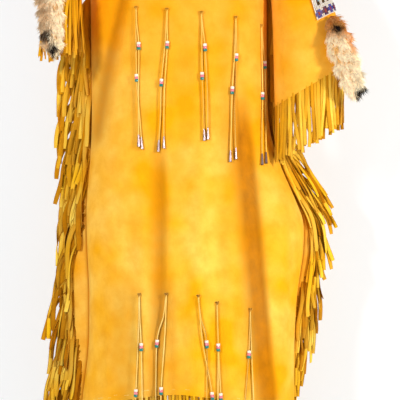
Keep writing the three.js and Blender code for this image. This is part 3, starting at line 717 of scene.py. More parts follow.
def host(name, points, edges=(), **marks):
    """Loose points or lines with what each point says: a number, a direction or a colour."""
    mesh = bpy.data.meshes.new(name)
    points = np.asarray(points, float).reshape(-1, 3)
    mesh.from_pydata((points * MM).tolist(), list(edges), [])
    for label, values in marks.items():
        mark(mesh, label, values)
    return mesh


print("trees:", STRANDS.name, COPIES.name)

# %% [markdown]
# ## Fringes
# A fringe is a strip of hide cut across into strands 9 to 13 mm wide, which fall over each other
# and twist. Each strand is a path of points: it leaves its root at a slant, bends down under its
# weight and swings a little. Its width follows the path and turns slowly on the way down. Strands
# could be left to fall in a simulation, but drawn paths keep to the outline the fringe has to fill.

# %% Paths of strands
STATIONS = 13
STEEPEST = 1.5  # radians from plumb at which a strand can leave its root
DOWN = np.array([0.0, 0.0, -1.0])
rng = np.random.default_rng(41)


def turned_about(vectors, axes, angles):
    """Vectors turned about unit axes by angles in radians."""
    c, s = np.cos(angles)[..., None], np.sin(angles)[..., None]
    along_axis = (vectors * axes).sum(-1, keepdims=True)
    return vectors * c + np.cross(axes, vectors) * s + axes * along_axis * (1 - c)


def fallen(length, reach, lean, stiffness):
    """Out and down along strands that leave at a slant and end leaning by lean radians."""
    share = (1 - np.linspace(0, 1, STATIONS)) ** stiffness
    step = length[:, None] / (STATIONS - 1)

    def ways(slant):
        angle = lean[:, None] + (slant - lean)[:, None] * share
        middle = (angle[:, 1:] + angle[:, :-1]) / 2
        steps = [turned(middle) * step for turned in (np.sin, np.cos)]
        return [np.pad(np.cumsum(way, axis=1), ((0, 0), (1, 0))) for way in steps]

    def falls_short(slant):
        return ways(slant)[0][:, -1] < reach

    return ways(halved(falls_short, np.zeros(len(length)), np.full(len(length), STEEPEST), 18))


def strands_piece(name, paths, across, twist, shade, width, thick, material, swell=None, root_shade=1.0):
    """Sweeps each path into a flat strand. across, twist and shade have a row for each strand."""
    count = len(paths)
    tangents = unit(np.gradient(paths, axis=1))
    wide = np.broadcast_to(across[:, None], paths.shape)
    wide = unit(wide - tangents * (wide * tangents).sum(-1, keepdims=True))
    wide = turned_about(wide, tangents, twist)
    if swell is None:
        swell = np.ones(paths.shape[:2])
        swell[:, -1] = 0.86
    steps = paths.shape[1]
    first = np.arange(count)[:, None] * steps + np.arange(steps - 1)[None]
    edges = np.stack([first.ravel(), first.ravel() + 1], -1).tolist()
    # Painted shade at the root, where a strand hangs in the seam's shade, fading out by halfway down.
    shades = np.clip(shade[:, None] * mix(root_shade, 1, ease(np.linspace(0, 2.2, steps)))[None], 0, 1)
    mesh = host(name, paths, edges, across=wide.reshape(-1, 3), swell=swell.ravel(), shade=shades.ravel())
    return grown(name, mesh, STRANDS, Width=width * MM, Thickness=thick * MM, Material=material)


print(STATIONS, "points on each strand's path")

# %% [markdown]
# The side fringes are sewn into the side seams. Beside the seam an uncut flap is left, broad in one
# place on each side, and the strands stand out from it in lanes, the far ones behind the near ones.

# %% Side fringes
FRINGE_COLUMNS = "z flap reach lean"
SIDE_FRINGES = {
    "right": dict(side=-1, top=-250, bottom=-1245, strands=152, rows=table(FRINGE_COLUMNS, [
        (-250, 9, 70, 0),
        (-330, 9, 96, 0),
        (-560, 9, 95, 0),
        (-620, 9, 74, 2),
        (-690, 9, 70, 4),
        (-790, 10, 88, 6),
        (-850, 24, 97, 5),
        (-900, 44, 106, 4),
        (-970, 51, 114, 4),
        (-1030, 48, 100, 2),
        (-1080, 38, 98, 0),
        (-1130, 25, 95, 3),
        (-1200, 15, 92, 5),
        (-1400, 11, 80, 4),
    ])),
    "left": dict(side=1, top=-250, bottom=-1262, strands=148, rows=table(FRINGE_COLUMNS, [
        (-250, 5, 9, 0),
        (-330, 10, 13, 0),
        (-460, 13, 18, 0),
        (-530, 10, 40, 4),
        (-570, 8, 80, 8),
        (-666, 8, 88, 16),
        (-750, 10, 84, 24),
        (-800, 18, 78, 26),
        (-840, 27, 76, 22),
        (-913, 26, 78, 16),
        (-961, 15, 76, 10),
        (-1033, 9, 58, 6),
        (-1098, 8, 42, 4),
        (-1158, 8, 28, 3),
        (-1400, 8, 24, 2),
    ])),
}
SIDE_WIDTH = dict(right=12.8, left=10.8)
SIDE_STRAND = dict(length=160, thick=2.4, bite=5, shortest=0.12)
SIDE_FLAP = dict(rows=160, columns=9, tuck=0.6)  # the uncut flap's points, and its edge in the seam
NEAR_DEPTH, FAR_DEPTH = -9, 20  # how far behind the seam the shortest and the furthest strands hang
GOLDEN = 0.618034
SEAM_SHADE = 7  # how far from the seam the painted shade of its groove reaches


def outward_at(side, z):
    turn = np.radians(seam_angle(z) - 90) if side > 0 else 0 * z
    return np.stack([side * np.cos(turn), np.sin(turn), 0 * z], -1)


def beside(side, z, out, deep):
    """A point beside the side seam: out from it, and deep behind it."""
    direction = outward_at(side, z)
    seam = body_point(-1, float(side), z)
    behind = np.stack([-direction[..., 1] * side, direction[..., 0] * side, 0 * z], -1)
    return seam + direction * np.asarray(out)[..., None] + behind * np.asarray(deep)[..., None]


def side_paths(side, top, bottom, strands, rows):
    flap, reach, lean = (along(rows, column) for column in ("flap", "reach", "lean"))
    k = np.arange(strands)
    root_z = mix(top - 5, bottom + 6, k / (strands - 1))
    lane = (k * GOLDEN) % 1
    share = mix(SIDE_STRAND["shortest"], 1, lane)
    root_out = np.maximum(flap(root_z) - SIDE_STRAND["bite"], 5)
    length = SIDE_STRAND["length"] * rng.uniform(0.88, 1.1, strands)
    clear = flap(root_z - 0.85 * length) + 3  # a strand hangs outside the flap that is cut below it
    target = np.maximum(np.maximum(reach(root_z) * share, clear) - root_out, 1)
    tilt = np.radians(lean(root_z) * share + rng.normal(0, 2.5, strands))
    out, down = fallen(length, np.minimum(target, 0.8 * length), tilt, 1.6)
    t = np.linspace(0, 1, STATIONS)[None]
    wander = rng.uniform(1, 6.5, (strands, 1))
    wander = wander * np.sin(rng.uniform(4, 8, (strands, 1)) * t + 6 * lane[:, None])
    out = root_out[:, None] + out + wander * t
    deep = mix(NEAR_DEPTH, FAR_DEPTH, lane)[:, None] * ease(3 * t)
    deep = deep + rng.normal(0, 1.5, (strands, 1)) * t
    z = root_z[:, None] - down
    return beside(side, z, out, deep), lane


def side_strip(side, top, bottom, rows):
    flap = along(rows, "flap")
    z = np.linspace(top, bottom, SIDE_FLAP["rows"])
    across = np.linspace(0, 1, SIDE_FLAP["columns"])
    out = mix(-SIDE_FLAP["tuck"], flap(z)[:, None], across[None] ** 1.5)
    grid = beside(side, np.broadcast_to(z[:, None], out.shape), out, np.full(out.shape, -HIDE / 2))
    return grid, np.clip(1 - out / SEAM_SHADE, 0, 1)


def joined_pieces(name, *pieces):
    """Several pieces as one mesh."""
    with bpy.context.temp_override(active_object=pieces[0], selected_editable_objects=list(pieces)):
        bpy.ops.object.join()
    pieces[0].name = pieces[0].data.name = name
    return pieces[0]


fringe_pieces = {}
for name, row in SIDE_FRINGES.items():
    side = row["side"]
    paths, lane = side_paths(**row)
    across = outward_at(side, paths[:, 0, 2])
    count = len(paths)
    t = np.linspace(0, 1, STATIONS)[None]
    twist = rng.normal(0, 0.3, (count, 1)) + rng.normal(0, 0.65, (count, 1)) * t
    # Each strand's own tone, with painted shade on the strands of the far lanes, which hang behind.
    shade = np.clip(1.6 * rng.random(count) - 0.1 - 0.1 * lane, 0, 1)
    loose = strands_piece(name + "_side_strands", paths, across, twist, shade,
                          SIDE_WIDTH[name], SIDE_STRAND["thick"], fringe_hide, root_shade=0.2)
    grid, painted_groove_shade = side_strip(side, row["top"], row["bottom"], row["rows"])
    facing = np.broadcast_to(np.array([0.0, -1.0, 0.0]), grid.shape)
    strip = cloth_wall(name + "_side_strip", grid, facing)
    strip.data.materials.append(buckskin)
    mark(strip.data, "painted_hollow_shade", np.tile(painted_groove_shade.ravel(), 2))
    piece = joined_pieces(name + "_side_fringe_cut", strip, loose)
    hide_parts(name + "_side_fringe")
    fringe_pieces[name + "_side"] = piece
    print(piece.name, count, "strands,", len(piece.data.polygons), "faces")

# %% [markdown]
# The hem and both cuffs are slit upwards into strands that hang plumb, close beside each other at
# their roots and apart at their ends.

# %% Hem and cuff fringes
HEM_STRAND = dict(length=140, width=8.8, thick=2.2, crowding=1.05)
CUFF_FLARE = dict(left=3, right=10)
CUFF_STRAND = dict(length=146, width=9.6, thick=2.4, crowding=1.15)
BEHIND = 1.6  # how far every second strand lies behind its neighbours
EDGE = dict(reach=0.985, points=160, hem_bite=4, cuff_bite=5)  # strands reach up a bite under the hide


def hanging_paths(roots, outward, length, flare, sway):
    """Plumb strands from a row of roots. outward points away from the cloth at each."""
    count = len(roots)
    t = np.linspace(0, 1, STATIONS)
    wide = np.cross(outward, DOWN)
    lengths = length * rng.uniform(0.92, 1.05, count)
    lean = rng.normal(0, sway, (count, 1, 1))
    curl = rng.normal(0, 2.6, (count, 1))
    curl = curl * np.sin(rng.uniform(3, 7, (count, 1)) * t + 6 * rng.random((count, 1)))
    off = flare * rng.uniform(-0.6, 1.4, (count, 1)) * t**1.4
    paths = roots[:, None] + DOWN * (lengths[:, None, None] * t[None, :, None])
    paths = paths + wide[:, None] * (lean * t[None, :, None] ** 1.5 + curl[..., None])
    return paths + outward[:, None] * off[..., None], wide


def edge_fringe(name, edge, outward, size, material, replaced, flare=3, sway=8):
    """Strands from an edge of points, one strand's width apart."""
    run = run_along(edge)
    count = int(size["crowding"] * run[-1] / size["width"])
    places = (np.arange(count) + 0.5) * run[-1] / count
    roots, facing = read_rows(places, run, edge), unit(read_rows(places, run, outward))
    behind = np.arange(count) % 2  # every second strand lies a little behind its neighbours
    roots -= facing * (HIDE / 2 + BEHIND * behind[:, None])
    paths, wide = hanging_paths(roots, facing, size["length"], flare, sway)
    t = np.linspace(0, 1, STATIONS)[None]
    twist = rng.normal(0, 0.35, (count, 1)) * t + rng.normal(0, 0.2, (count, 1)) * np.sin(5 * t)
    # Each strand's own tone, with painted shade on every second strand, which lies behind.
    shade = np.clip(1.5 * rng.random(count) - 0.1, 0, 1) * (1 - 0.4 * behind)
    swell = np.ones((count, STATIONS))
    swell[:, 0], swell[:, 1:] = 0.97, rng.uniform(0.85, 1.02, (count, 1))
    piece = strands_piece(name, paths, wide, twist, shade, size["width"], size["thick"], material, swell,
                          root_shade=0.55)
    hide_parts(replaced)
    print(piece.name, count, "strands")
    return piece


for face, name in ((-1, "front"), (1, "back")):
    u = np.linspace(-EDGE["reach"], EDGE["reach"], EDGE["points"])
    edge = hem_point(face, u, HEM_STRIP - EDGE["hem_bite"])
    ahead = np.gradient(edge, axis=0)
    outward = unit(np.stack([ahead[:, 1], -ahead[:, 0], 0 * u], -1) * -face)
    fringe_pieces["hem_" + name] = edge_fringe("hem_fringe_" + name + "_cut", edge, outward, HEM_STRAND,
                                               fringe_hide, "hem_fringe_" + name)
for name, sleeve in SLEEVES.items():
    turns = np.linspace(0, 1, EDGE["points"])
    edge = sleeve_point(sleeve, turns, 1.0) - [0, 0, CUFF_STRIP - EDGE["cuff_bite"]]
    outward = edge - [sleeve["x"], sleeve["y"], 0]
    outward = unit(outward * [1 / sleeve["half"] ** 2, 1 / sleeve["depth"] ** 2, 0])
    fringe_pieces[name + "_cuff"] = edge_fringe(name + "_cuff_fringe_cut", edge, outward, CUFF_STRAND,
                                                fringe_hide, name + "_cuff_fringe", CUFF_FLARE[name])

# %% [markdown]
# ## Tassels
# Each tassel is a pair of pale thongs drawn through the hide and knotted. On each thong sit three
# crow beads of glass, white, rose and green, and its end is pinched into a rolled tin cone. The
# thongs are swept like the fringe, and a knot is one short thong on a looped path. Beads and cones
# are copies aimed along their thong, so that it runs through them.

# %% Where the tassels hang
TASSELS = [
    ("tassel_chest_1", -112, -291, ((92, 7, 325, 7), (168, 2, 331, 15))),
    ("tassel_chest_2", -38, -296, ((85, 1, 324, -7), (175, -13, 332, -20))),
    ("tassel_chest_3", 45, -303, ((84, 8, 296, 15), (152, 1, 299, 6))),
    ("tassel_chest_4", 127, -313, ((96, 1, 333, 0), (175, -9, 339, -14))),
    ("tassel_chest_5", 190, -329, ((94, 8, 326, 10), (170, 2, 330, 0))),
    ("tassel_skirt_1", -103, -974, ((124, 5, 450, 8), (233, -8, 455, -12))),
    ("tassel_skirt_2", -39, -973, ((117, -22, 452, -30), (228, -12, 455, -10))),
    ("tassel_skirt_3", 37, -976, ((114, 20, 448, 20), (236, 33, 450, 36))),
    ("tassel_skirt_4", 82, -993, ((105, 2, 445, 3), (222, 8, 450, 18))),
    ("tassel_skirt_5", 161, -1010, ((106, -4, 440, -30), (235, 8, 445, 12))),
]  # name, x and z of the knot, and for each thong its beads' and its end's drop and place across
THONG = dict(width=3.8, thick=2.2, off=5.4, steps=15)
KNOT = dict(radius=4.4, off=4.2, turns=25)
BEAD = dict(radius=4.6, hole=1.7, height=6.2)
CONE = dict(top=1.9, bottom=3.7, height=28, wall=0.4)


def front_y(x, z):
    """The front panel's surface at a place across and a height."""
    x, z = np.asarray(x, float), np.maximum(z, hem_height(x))
    u = halved(lambda u: body_point(-1, u, z)[..., 0] < x, np.full(x.shape, -1.0), np.full(x.shape, 1.0))
    return body_point(-1, u, z)[..., 1]


print("front surface at the first knot:", np.round(front_y(*TASSELS[0][1:3]), 1), "mm")

# %% Glass and tin materials
# Crow beads are opaque drawn glass, tumbled smooth: a deep even colour with one small sharp glint.
# Tinplate is steel with a thin coat of tin: a metal shine, softened and clouded by handling.
def plain_material(name, code, roughness, metallic=0.0, ior=1.5, speckle=0.0):
    """A hard, smooth finish with fine clouds. Without a code, each point says its own hue."""
    material, tree, shader = new_material(name)
    clouds = noise(tree, 900.0, 2.0)
    if code:
        base = blend(tree, clouds, code, [c * (1 - speckle) for c in colour(code)[:3]] + [1])
    else:
        base = attribute(tree, "hue", "Color")
    rough = remap(tree, clouds, to_low=roughness * 0.8, to_high=roughness * 1.3)
    feed(tree, shader, {"Base Color": base, "Roughness": rough, "Metallic": metallic, "IOR": ior})
    return material


bead_glass = plain_material("opaque_bead_glass", None, 0.16, ior=1.52)
rolled_tin = plain_material("rolled_tinplate", "#b3a2a6", 0.34, metallic=1.0, speckle=0.35)
print("glass and tin ready")

# %% One bead and one cone
def revolved(name, profile, sides):
    """A closed ring of a profile (radius, height) turned round Z."""
    profile = np.array(profile, float)
    turn = np.arange(sides) * 2 * math.pi / sides
    ring = np.stack([profile[:, None, 0] * np.cos(turn), profile[:, None, 0] * np.sin(turn),
                     profile[:, None, 1] + 0 * turn], -1)
    at = np.arange(len(profile) * sides).reshape(len(profile), sides)
    below, beyond = np.roll(at, -1, axis=0), np.roll(at, -1, axis=1)
    faces = np.stack([at, beyond, np.roll(below, -1, axis=1), below], -1).reshape(-1, 4)
    return new_piece(name, ring, faces, smooth_angle=60)


def bead_profile(radius, hole, height, corner=0.42, points=10):
    """A squared ring, as glass tube has once it is cut short and tumbled."""
    turn = np.linspace(0, 2 * math.pi, points, endpoint=False)
    ring = np.stack([np.cos(turn), np.sin(turn)], -1)
    ring = np.sign(ring) * np.abs(ring) ** (1 - corner)
    return ring * [(radius - hole) / 2, height / 2] + [(radius + hole) / 2, 0]


crow_bead = revolved("crow_bead", bead_profile(BEAD["radius"], BEAD["hole"], BEAD["height"]), 16)
top, bottom, high, thin = CONE["top"], CONE["bottom"], CONE["height"] / 2, CONE["wall"]
tin_cone = revolved(
    "tin_cone", [(top, high), (bottom, -high), (bottom - thin, -high), (top - thin, high)], 14)
print("one bead has", len(crow_bead.data.polygons), "faces and one cone", len(tin_cone.data.polygons))

# %% The tassels
BEAD_HUES = ["#f3ead9", "#e2808f", "#1f7f78"]  # white, rose and green
UP = np.array([0.0, 0.0, 1.0])


def smooth_path(points, steps):
    """A smooth curve through points, Catmull and Rom's, with the same number of steps in each span."""
    p = np.concatenate([[2 * points[0] - points[1]], points, [2 * points[-1] - points[-2]]])
    t = np.linspace(0, 1, steps, endpoint=False)[:, None]
    spans = [
        0.5 * (2 * b + (c - a) * t + (2 * a - 5 * b + 4 * c - d) * t**2 + (3 * b - a - 3 * c + d) * t**3)
        for a, b, c, d in zip(p, p[1:], p[2:], p[3:])
    ]
    return np.concatenate([*spans, points[-1:]])


def knot_path(centre, radius, turns):
    t = np.linspace(0, 2 * math.pi, turns)
    across, up = np.sin(t) + 2 * np.sin(2 * t), np.cos(t) - 2 * np.cos(2 * t)
    return centre + np.stack([across, -1.3 * np.sin(3 * t), up], -1) * radius / 3


def strung(name, places, aims, thing, material, **marks):
    """Copies of a bead or a cone, each with its hole along its aim."""
    count = len(places)
    seats = host(name, places, aim=aims, side=np.tile([1, 0, 0], (count, 1)), size=np.ones((count, 3)),
                 **marks)
    return grown(name, seats, COPIES, Copy=thing, Material=material)


def tassel(name, x, z, thongs):
    """A knot at x and z with its thongs, each with a group of beads and a cone."""
    paths, beads, cones = [], [], []
    root = np.array([x, front_y(x, z) - KNOT["off"], z])
    for bead_drop, bead_across, end_drop, end_across in thongs:
        rows = [(0.45 * bead_drop, 0.3 * bead_across), (bead_drop, bead_across),
                (mix(bead_drop, end_drop, 0.5), mix(bead_across, end_across, 0.5) + rng.normal(0, 1.2)),
                (end_drop, end_across)]
        places = [root + [rng.normal(0, 0.8), 0, 0]]
        for drop, across in rows:
            place = x + across, z - drop
            places.append(np.array([place[0], front_y(*place) - THONG["off"], place[1]]))
        path = smooth_path(np.array(places), THONG["steps"])
        paths.append(path)
        middle = places[2]
        aim = unit(places[1] - places[3])
        beads += [(middle + aim * (1 - i) * BEAD["height"], aim, hue) for i, hue in enumerate(BEAD_HUES)]
        end_aim = unit(path[-4] - path[-1])
        cones.append((places[-1] + end_aim * CONE["height"] / 4, end_aim))
    across = np.tile([1.0, 0.0, 0.0], (len(paths), 1))
    bare = dict(width=THONG["width"], thick=THONG["thick"], material=thong_hide)
    steps = paths[0].shape[0]
    twist = rng.normal(0, 0.3, (2, 1)) + np.linspace(0, 1, steps)[None] * rng.normal(0, 0.8, (2, 1))
    thong = strands_piece(name + "_thongs", np.array(paths), across, twist, np.array([1.0, 0.85]),
                          swell=np.ones((2, steps)), **bare)
    tie = knot_path(root, KNOT["radius"], KNOT["turns"])[None]
    knot = strands_piece(name + "_knot", tie, np.array([[0.0, 1.0, 0.0]]), np.zeros((1, KNOT["turns"])),
                         np.array([0.7]), swell=np.full((1, KNOT["turns"]), 0.8), **bare)
    places, aims, hues = zip(*beads)
    glass = strung(name + "_beads", places, aims, crow_bead, bead_glass, hue=[colour(hue) for hue in hues])
    places, aims = zip(*cones)
    tin = strung(name + "_cones", places, aims, tin_cone, rolled_tin)
    piece = joined_pieces(name + "_strung", thong, knot, glass, tin)
    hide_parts(name)
    return piece


tassel_pieces = [tassel(*row) for row in TASSELS]
print(len(tassel_pieces), "tassels,", len(tassel_pieces[0].data.polygons), "faces each")

# %% [markdown]
# ## Beaded bands
# The bands over the shoulders are rows of small glass beads sewn down on a strip of hide. A white
# ground carries lengthwise bars with dark tips and, near the fur, a row of stepped diamonds.
# The beads sit on a grid over the band, coloured from a small chart made of rules. A painted strip
# would show the chart too, but only beads give it their grain and their glints.

# %% The bands' form
BAND = dict(width=58, thick=3, off=2.4, bead=2.9, backing=1.2)
BANDS = {"left": dict(steps=10.6, twist=0.105), "right": dict(steps=11, twist=0.1)}
CAD_ALONG = 7  # rows of the solid sleeve, which the bands' tables count by halves
BAND_CORE = dict(x=120, z=-400)  # a place inside the dress that the bands face away from


def shoulder_point(x, y):
    """The shoulder's surface over a place across, y in front of or behind the seam."""
    out = (np.abs(x) - NECK["half"]) / (SHOULDER_TIP["x"] - NECK["half"])
    u = np.sign(x) * mix(NECK["share"], 1, out)
    front, back = (
        yoke_point(face, u, halved(lambda v: np.abs(yoke_point(face, u, v)[..., 1]) > np.abs(y),
                                   np.zeros_like(x), np.ones_like(x)))
        for face in (-1, 1))
    return np.where((y < 0)[..., None], front, back)


def band_grid(name, across, rows=90):
    """Points under the band: rows from the neck to its end, columns over its width."""
    sleeve, shape = SLEEVES[name], BANDS[name]
    shares = np.linspace(-1, 1, across)[None]
    x = np.linspace(NECK["half"] + 6, SHOULDER_TIP["x"] - 6, rows // 3)[:, None] * sleeve["side"]
    shoulder = shoulder_point(x + 0 * shares, shares * BAND["width"] / 2 + 0 * x)
    step = np.linspace(1, shape["steps"], rows)[:, None]
    s = step / (2 * CAD_ALONG)
    middle = shape["twist"] * ease(step / shape["steps"])
    ring = np.linalg.norm(sleeve_point(sleeve, 0.0, s) - sleeve_point(sleeve, 0.04, s), axis=-1) / 0.04
    turn = middle - shares * BAND["width"] / 2 / ring
    lower = sleeve_point(sleeve, turn, s + 0 * shares)
    grid = np.concatenate([shoulder, lower])
    return grid, run_along(grid[:, across // 2])


# %% The chart and the sewn beads
WHITE, LIGHT_BLUE, PURPLE = "#f1efe8", "#6fc4d6", "#4b2a6a"
BLACK, BLUE, RED = "#1b1620", "#3a55b5", "#c23a44"
BAR = dict(pitch=4, wide=2, long=26, gap=5, tip=3)
STEPPED = dict(start=1, tall=7, pitch=5, margin=11)  # rows from the end, and columns to a diamond


def bead_hue(row_from_end, column, columns):
    """Which colour the chart gives a bead."""
    up = row_from_end - STEPPED["start"]
    if 0 <= up < STEPPED["tall"]:
        place = column % STEPPED["pitch"]
        from_middle = abs(place - (STEPPED["pitch"] - 1) / 2)
        from_centre = abs(up - (STEPPED["tall"] - 1) / 2)
        if from_middle <= 0.5 and from_centre <= 1:
            return RED
        if from_middle + from_centre // 2 <= 2:
            return PURPLE if (column // STEPPED["pitch"]) % 2 else BLUE
        return WHITE
    up = row_from_end - STEPPED["margin"]
    cycle = BAR["long"] + BAR["gap"]
    if up < 0 or up % cycle >= BAR["long"]:
        return WHITE
    place = (column + 1) % BAR["pitch"]
    if place >= BAR["wide"] or column in (0, columns - 1):
        return WHITE
    if up % cycle < BAR["tip"] or up % cycle >= BAR["long"] - BAR["tip"]:
        return BLACK
    return LIGHT_BLUE if (column // BAR["pitch"]) % 2 else PURPLE


seed_bead = revolved("seed_bead", bead_profile(BAND["bead"] / 2, 0.4, BAND["bead"] * 0.86, points=4), 7)
for name in SLEEVES:
    columns = int(BAND["width"] / BAND["bead"])
    grid, run = band_grid(name, columns)
    cloth = read_rows(np.linspace(0, run[-1], int(run[-1] / BAND["bead"]) + 1), run, grid)
    core = np.array([SLEEVES[name]["side"] * BAND_CORE["x"], 0, BAND_CORE["z"]])
    normals = grid_normals(cloth, False, core)
    backing = cloth_wall(name + "_band_backing", cloth + normals * (BAND["off"] + BAND["backing"]), normals,
                         BAND["backing"])
    backing.data.materials.append(thong_hide)
    mark(backing.data, "shade", np.full(len(backing.data.vertices), 0.9))
    seats = cloth + normals * (BAND["off"] + BAND["backing"] + BAND["bead"] * 0.42)
    side_ways = unit(np.gradient(seats, axis=1))
    rows = len(seats)
    hues = [colour(bead_hue(rows - 1 - i, j, columns)) for i in range(rows) for j in range(columns)]
    jitter = rng.normal(0, 0.12, seats.shape)
    bead_host = host(name, seats + jitter, aim=side_ways.reshape(-1, 3), side=normals.reshape(-1, 3),
                     size=rng.uniform(0.95, 1.08, (rows * columns, 1)) * np.ones((1, 3)), hue=hues)
    beads = grown(name + "_band_beads", bead_host, COPIES, Copy=seed_bead, Material=bead_glass)
    piece = joined_pieces(name + "_beaded_band_sewn", backing, beads)
    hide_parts(name + "_beaded_band")
    fringe_pieces[name + "_band"] = piece
    print(piece.name, rows * columns, "beads,", len(piece.data.polygons), "faces")

# %% [markdown]
# ## Fur tails
# A tail of winter fur hangs from each band. Its skin is a tapering tube, and hair grows from it,
# lying down along the tail and lifting outwards. The tree scatters hairs with a fixed seed, and each
# takes its colour from the skin under it: grizzled tan, cream and dark brown. Combed hair curves
# are the usual way, but a finished piece is a plain mesh here, so each hair is a bent spike.

# %% Fur skin
FUR_TAILS = {
    "left": dict(knee=(365, -117, -390), to=(406, -118, -500), half=35, thick=25, facing=22),
    "right": dict(knee=(-302, -204, -226), to=(-300, -184, -408), half=32, thick=25, facing=14),
}
FUR_SHAPE = table("at full", [(0, 0.35), (0.12, 0.8), (0.35, 1), (0.75, 1), (0.93, 0.8), (1, 0.35)])
SKIN = dict(around=20, along=34, inset=11)
HAIR = dict(count=11500, length=23, root=0.8, lift=0.55, lock=0.95, stray=0.16, lock_size=13)


def tail_rings(name):
    sleeve, tail = SLEEVES[name], FUR_TAILS[name]
    turn = math.radians(tail["facing"]) * sleeve["side"]
    wide = np.array([math.cos(turn), math.sin(turn), 0])
    out = np.array([math.sin(turn), -math.cos(turn), 0])
    grid, _ = band_grid(name, 5)
    start = grid[-1, 2] + out * (2 * BAND["off"] + 0.5) - [0, 0, BAND["off"]]
    at = np.linspace(0.02, 0.985, SKIN["along"])
    full = np.interp(at, FUR_SHAPE["at"], FUR_SHAPE["full"])
    knee, end = np.array(tail["knee"], float), np.array(tail["to"], float)
    t = at[:, None]
    back = (1 - t) ** 2 * start + 2 * t * (1 - t) * knee + t**2 * end
    middle = back + out * (tail["thick"] * full)[:, None]
    angle = np.linspace(0, 2 * math.pi, SKIN["around"], endpoint=False)
    half = np.maximum(tail["half"] * full - SKIN["inset"], 3)
    thick = np.maximum(tail["thick"] * full - SKIN["inset"] * 0.8, 3)
    rings = middle[:, None] + wide * (half[:, None] * np.cos(angle))[..., None]
    rings = rings + out * (thick[:, None] * np.sin(angle))[..., None]
    return rings, at, angle, np.gradient(middle, axis=0)


COAT = "#cb9250", "#fff6d8", "#140703", "#e8943a"  # tan, cream, dark brown and rust


def coat_colour(name, at, angle):
    """The coat's colour for a place along the tail and round it. Angle 90 degrees faces out."""
    tan, cream, brown, rust = (np.array(colour(code)[:3]) for code in COAT)
    around = np.cos(angle)
    if name == "left":
        base = mix(tan, cream, ease((at - 0.16) / 0.2)[..., None])
        rusty = 0.8 * ease((around - 0.3) / 0.5) * ease((0.62 - at) / 0.3) * ease(at / 0.2)
        base = mix(base, rust, rusty[..., None])
        patch = np.exp(-(((at - 0.17) / 0.055) ** 2) - ((around + 0.15) / 0.6) ** 2)
        tip = ease((at - 0.86) / 0.06) * ease((around + 0.35) / 0.4)
        grizzle = 0.25 * np.exp(-(((around - 0.35) / 0.15) ** 2)) * ease((at - 0.45) / 0.1)
    else:
        base = mix(mix(tan, cream, 0.45), cream * 1.02, ease((around + 0.1) / 0.5)[..., None])
        patch = 1.3 * np.exp(-(((at - 0.85) / 0.035) ** 2) - ((around + 0.45) / 0.45) ** 2)
        tip = 1.5 * np.exp(-(((at - 0.95) / 0.04) ** 2) - ((around - 0.1) / 0.6) ** 2)
        grizzle = 0.42 * ease((0.3 - around) / 0.6) * (0.5 + 0.5 * np.sin(at * 60))
    spots = ease(((patch + tip) * 1.2 - 0.2) / 0.5)  # the dark patches have fairly clear edges
    dark = np.clip(spots + grizzle, 0, 1)[..., None]
    rgb = mix(base, brown, dark)
    return np.concatenate([rgb, np.ones((*rgb.shape[:-1], 1))], -1)


def fur_skin(name):
    """The tail's closed skin. Each point says which way its hair lies and what its colour is."""
    rings, at, angle, flow = tail_rings(name)
    rows, columns = rings.shape[:2]
    faces, index = tube_faces(rows, columns), np.arange(rows * columns).reshape(rows, columns)
    points = rings.reshape(-1, 3) * MM
    a, b, c = np.moveaxis((points - points.mean(0))[faces[:, :3]], 1, 0)
    if np.einsum("ij,ij->", a, np.cross(b, c)) < 0:
        faces = faces[:, ::-1]
    caps = [index[0].tolist(), index[-1].tolist()[::-1]]
    mesh = bpy.data.meshes.new(name + "_skin")
    mesh.from_pydata(points.tolist(), [], faces.tolist() + caps)
    coat = coat_colour(name, *np.broadcast_arrays(at[:, None], angle[None]))
    mark(mesh, "lie", np.broadcast_to(unit(flow)[:, None], rings.shape).reshape(-1, 3))
    mark(mesh, "coat", coat.reshape(-1, 4))
    mark(mesh, "rise", np.zeros(len(points)))
    return mesh


def one_hair(length, root):
    """A bent spike of three sides, with its height along it kept as an attribute."""
    turn = np.arange(3) * 2 * math.pi / 3
    rings = [
        np.stack([np.cos(turn) * root * radius - bend * length, np.sin(turn) * root * radius,
                  0 * turn + share * length], -1)
        for share, radius, bend in ((0, 1, 0), (0.55, 0.75, 0.1))
    ]
    points = np.concatenate([*rings, [[-0.3 * length, 0, 0.98 * length]]]) * MM
    faces = [(i, (i + 1) % 3, 3 + (i + 1) % 3, 3 + i) for i in range(3)]
    faces += [(3 + i, 3 + (i + 1) % 3, 6) for i in range(3)] + [(2, 1, 0)]
    mesh = bpy.data.meshes.new("hair")
    mesh.from_pydata(points.tolist(), [], faces)
    mark(mesh, "rise", [0, 0, 0, 0.6, 0.6, 0.6, 1])
    return placed("hair", mesh)


# %% Fur material and tree
INNER_GLOW = 0.27  # light that wanders from hair to hair inside the coat and comes out again


def fur_material():
    """Soft light over the whole coat: each hair is lit partly as the skin under it would be."""
    material, tree, shader = new_material("grizzled_fur")
    streaks = remap(tree, noise(tree, 220.0, 2.0), 0.35, 0.65, 0.72, 1.16)
    # Darker and warmer towards each hair's root: painted shade deep in the coat.
    deep_coat_shade = blend(tree, attribute(tree, "rise"), "#cfa062", "#ffffff")
    lit = vector_maths(tree, "MULTIPLY", attribute(tree, "coat", "Color"), deep_coat_shade)
    lit = vector_maths(tree, "SCALE", lit, streaks)
    own = vector_maths(tree, "SCALE", add(tree, "ShaderNodeNewGeometry").outputs["Normal"], 1.1)
    soft = vector_maths(tree, "ADD", attribute(tree, "outward", "Vector"), own)
    feed(tree, shader, {
        "Base Color": lit, "Emission Color": lit, "Emission Strength": INNER_GLOW,
        "Normal": vector_maths(tree, "NORMALIZE", soft), "Roughness": 0.62, "Sheen Weight": 0.06,
        "Specular IOR Level": 0.12})
    return material


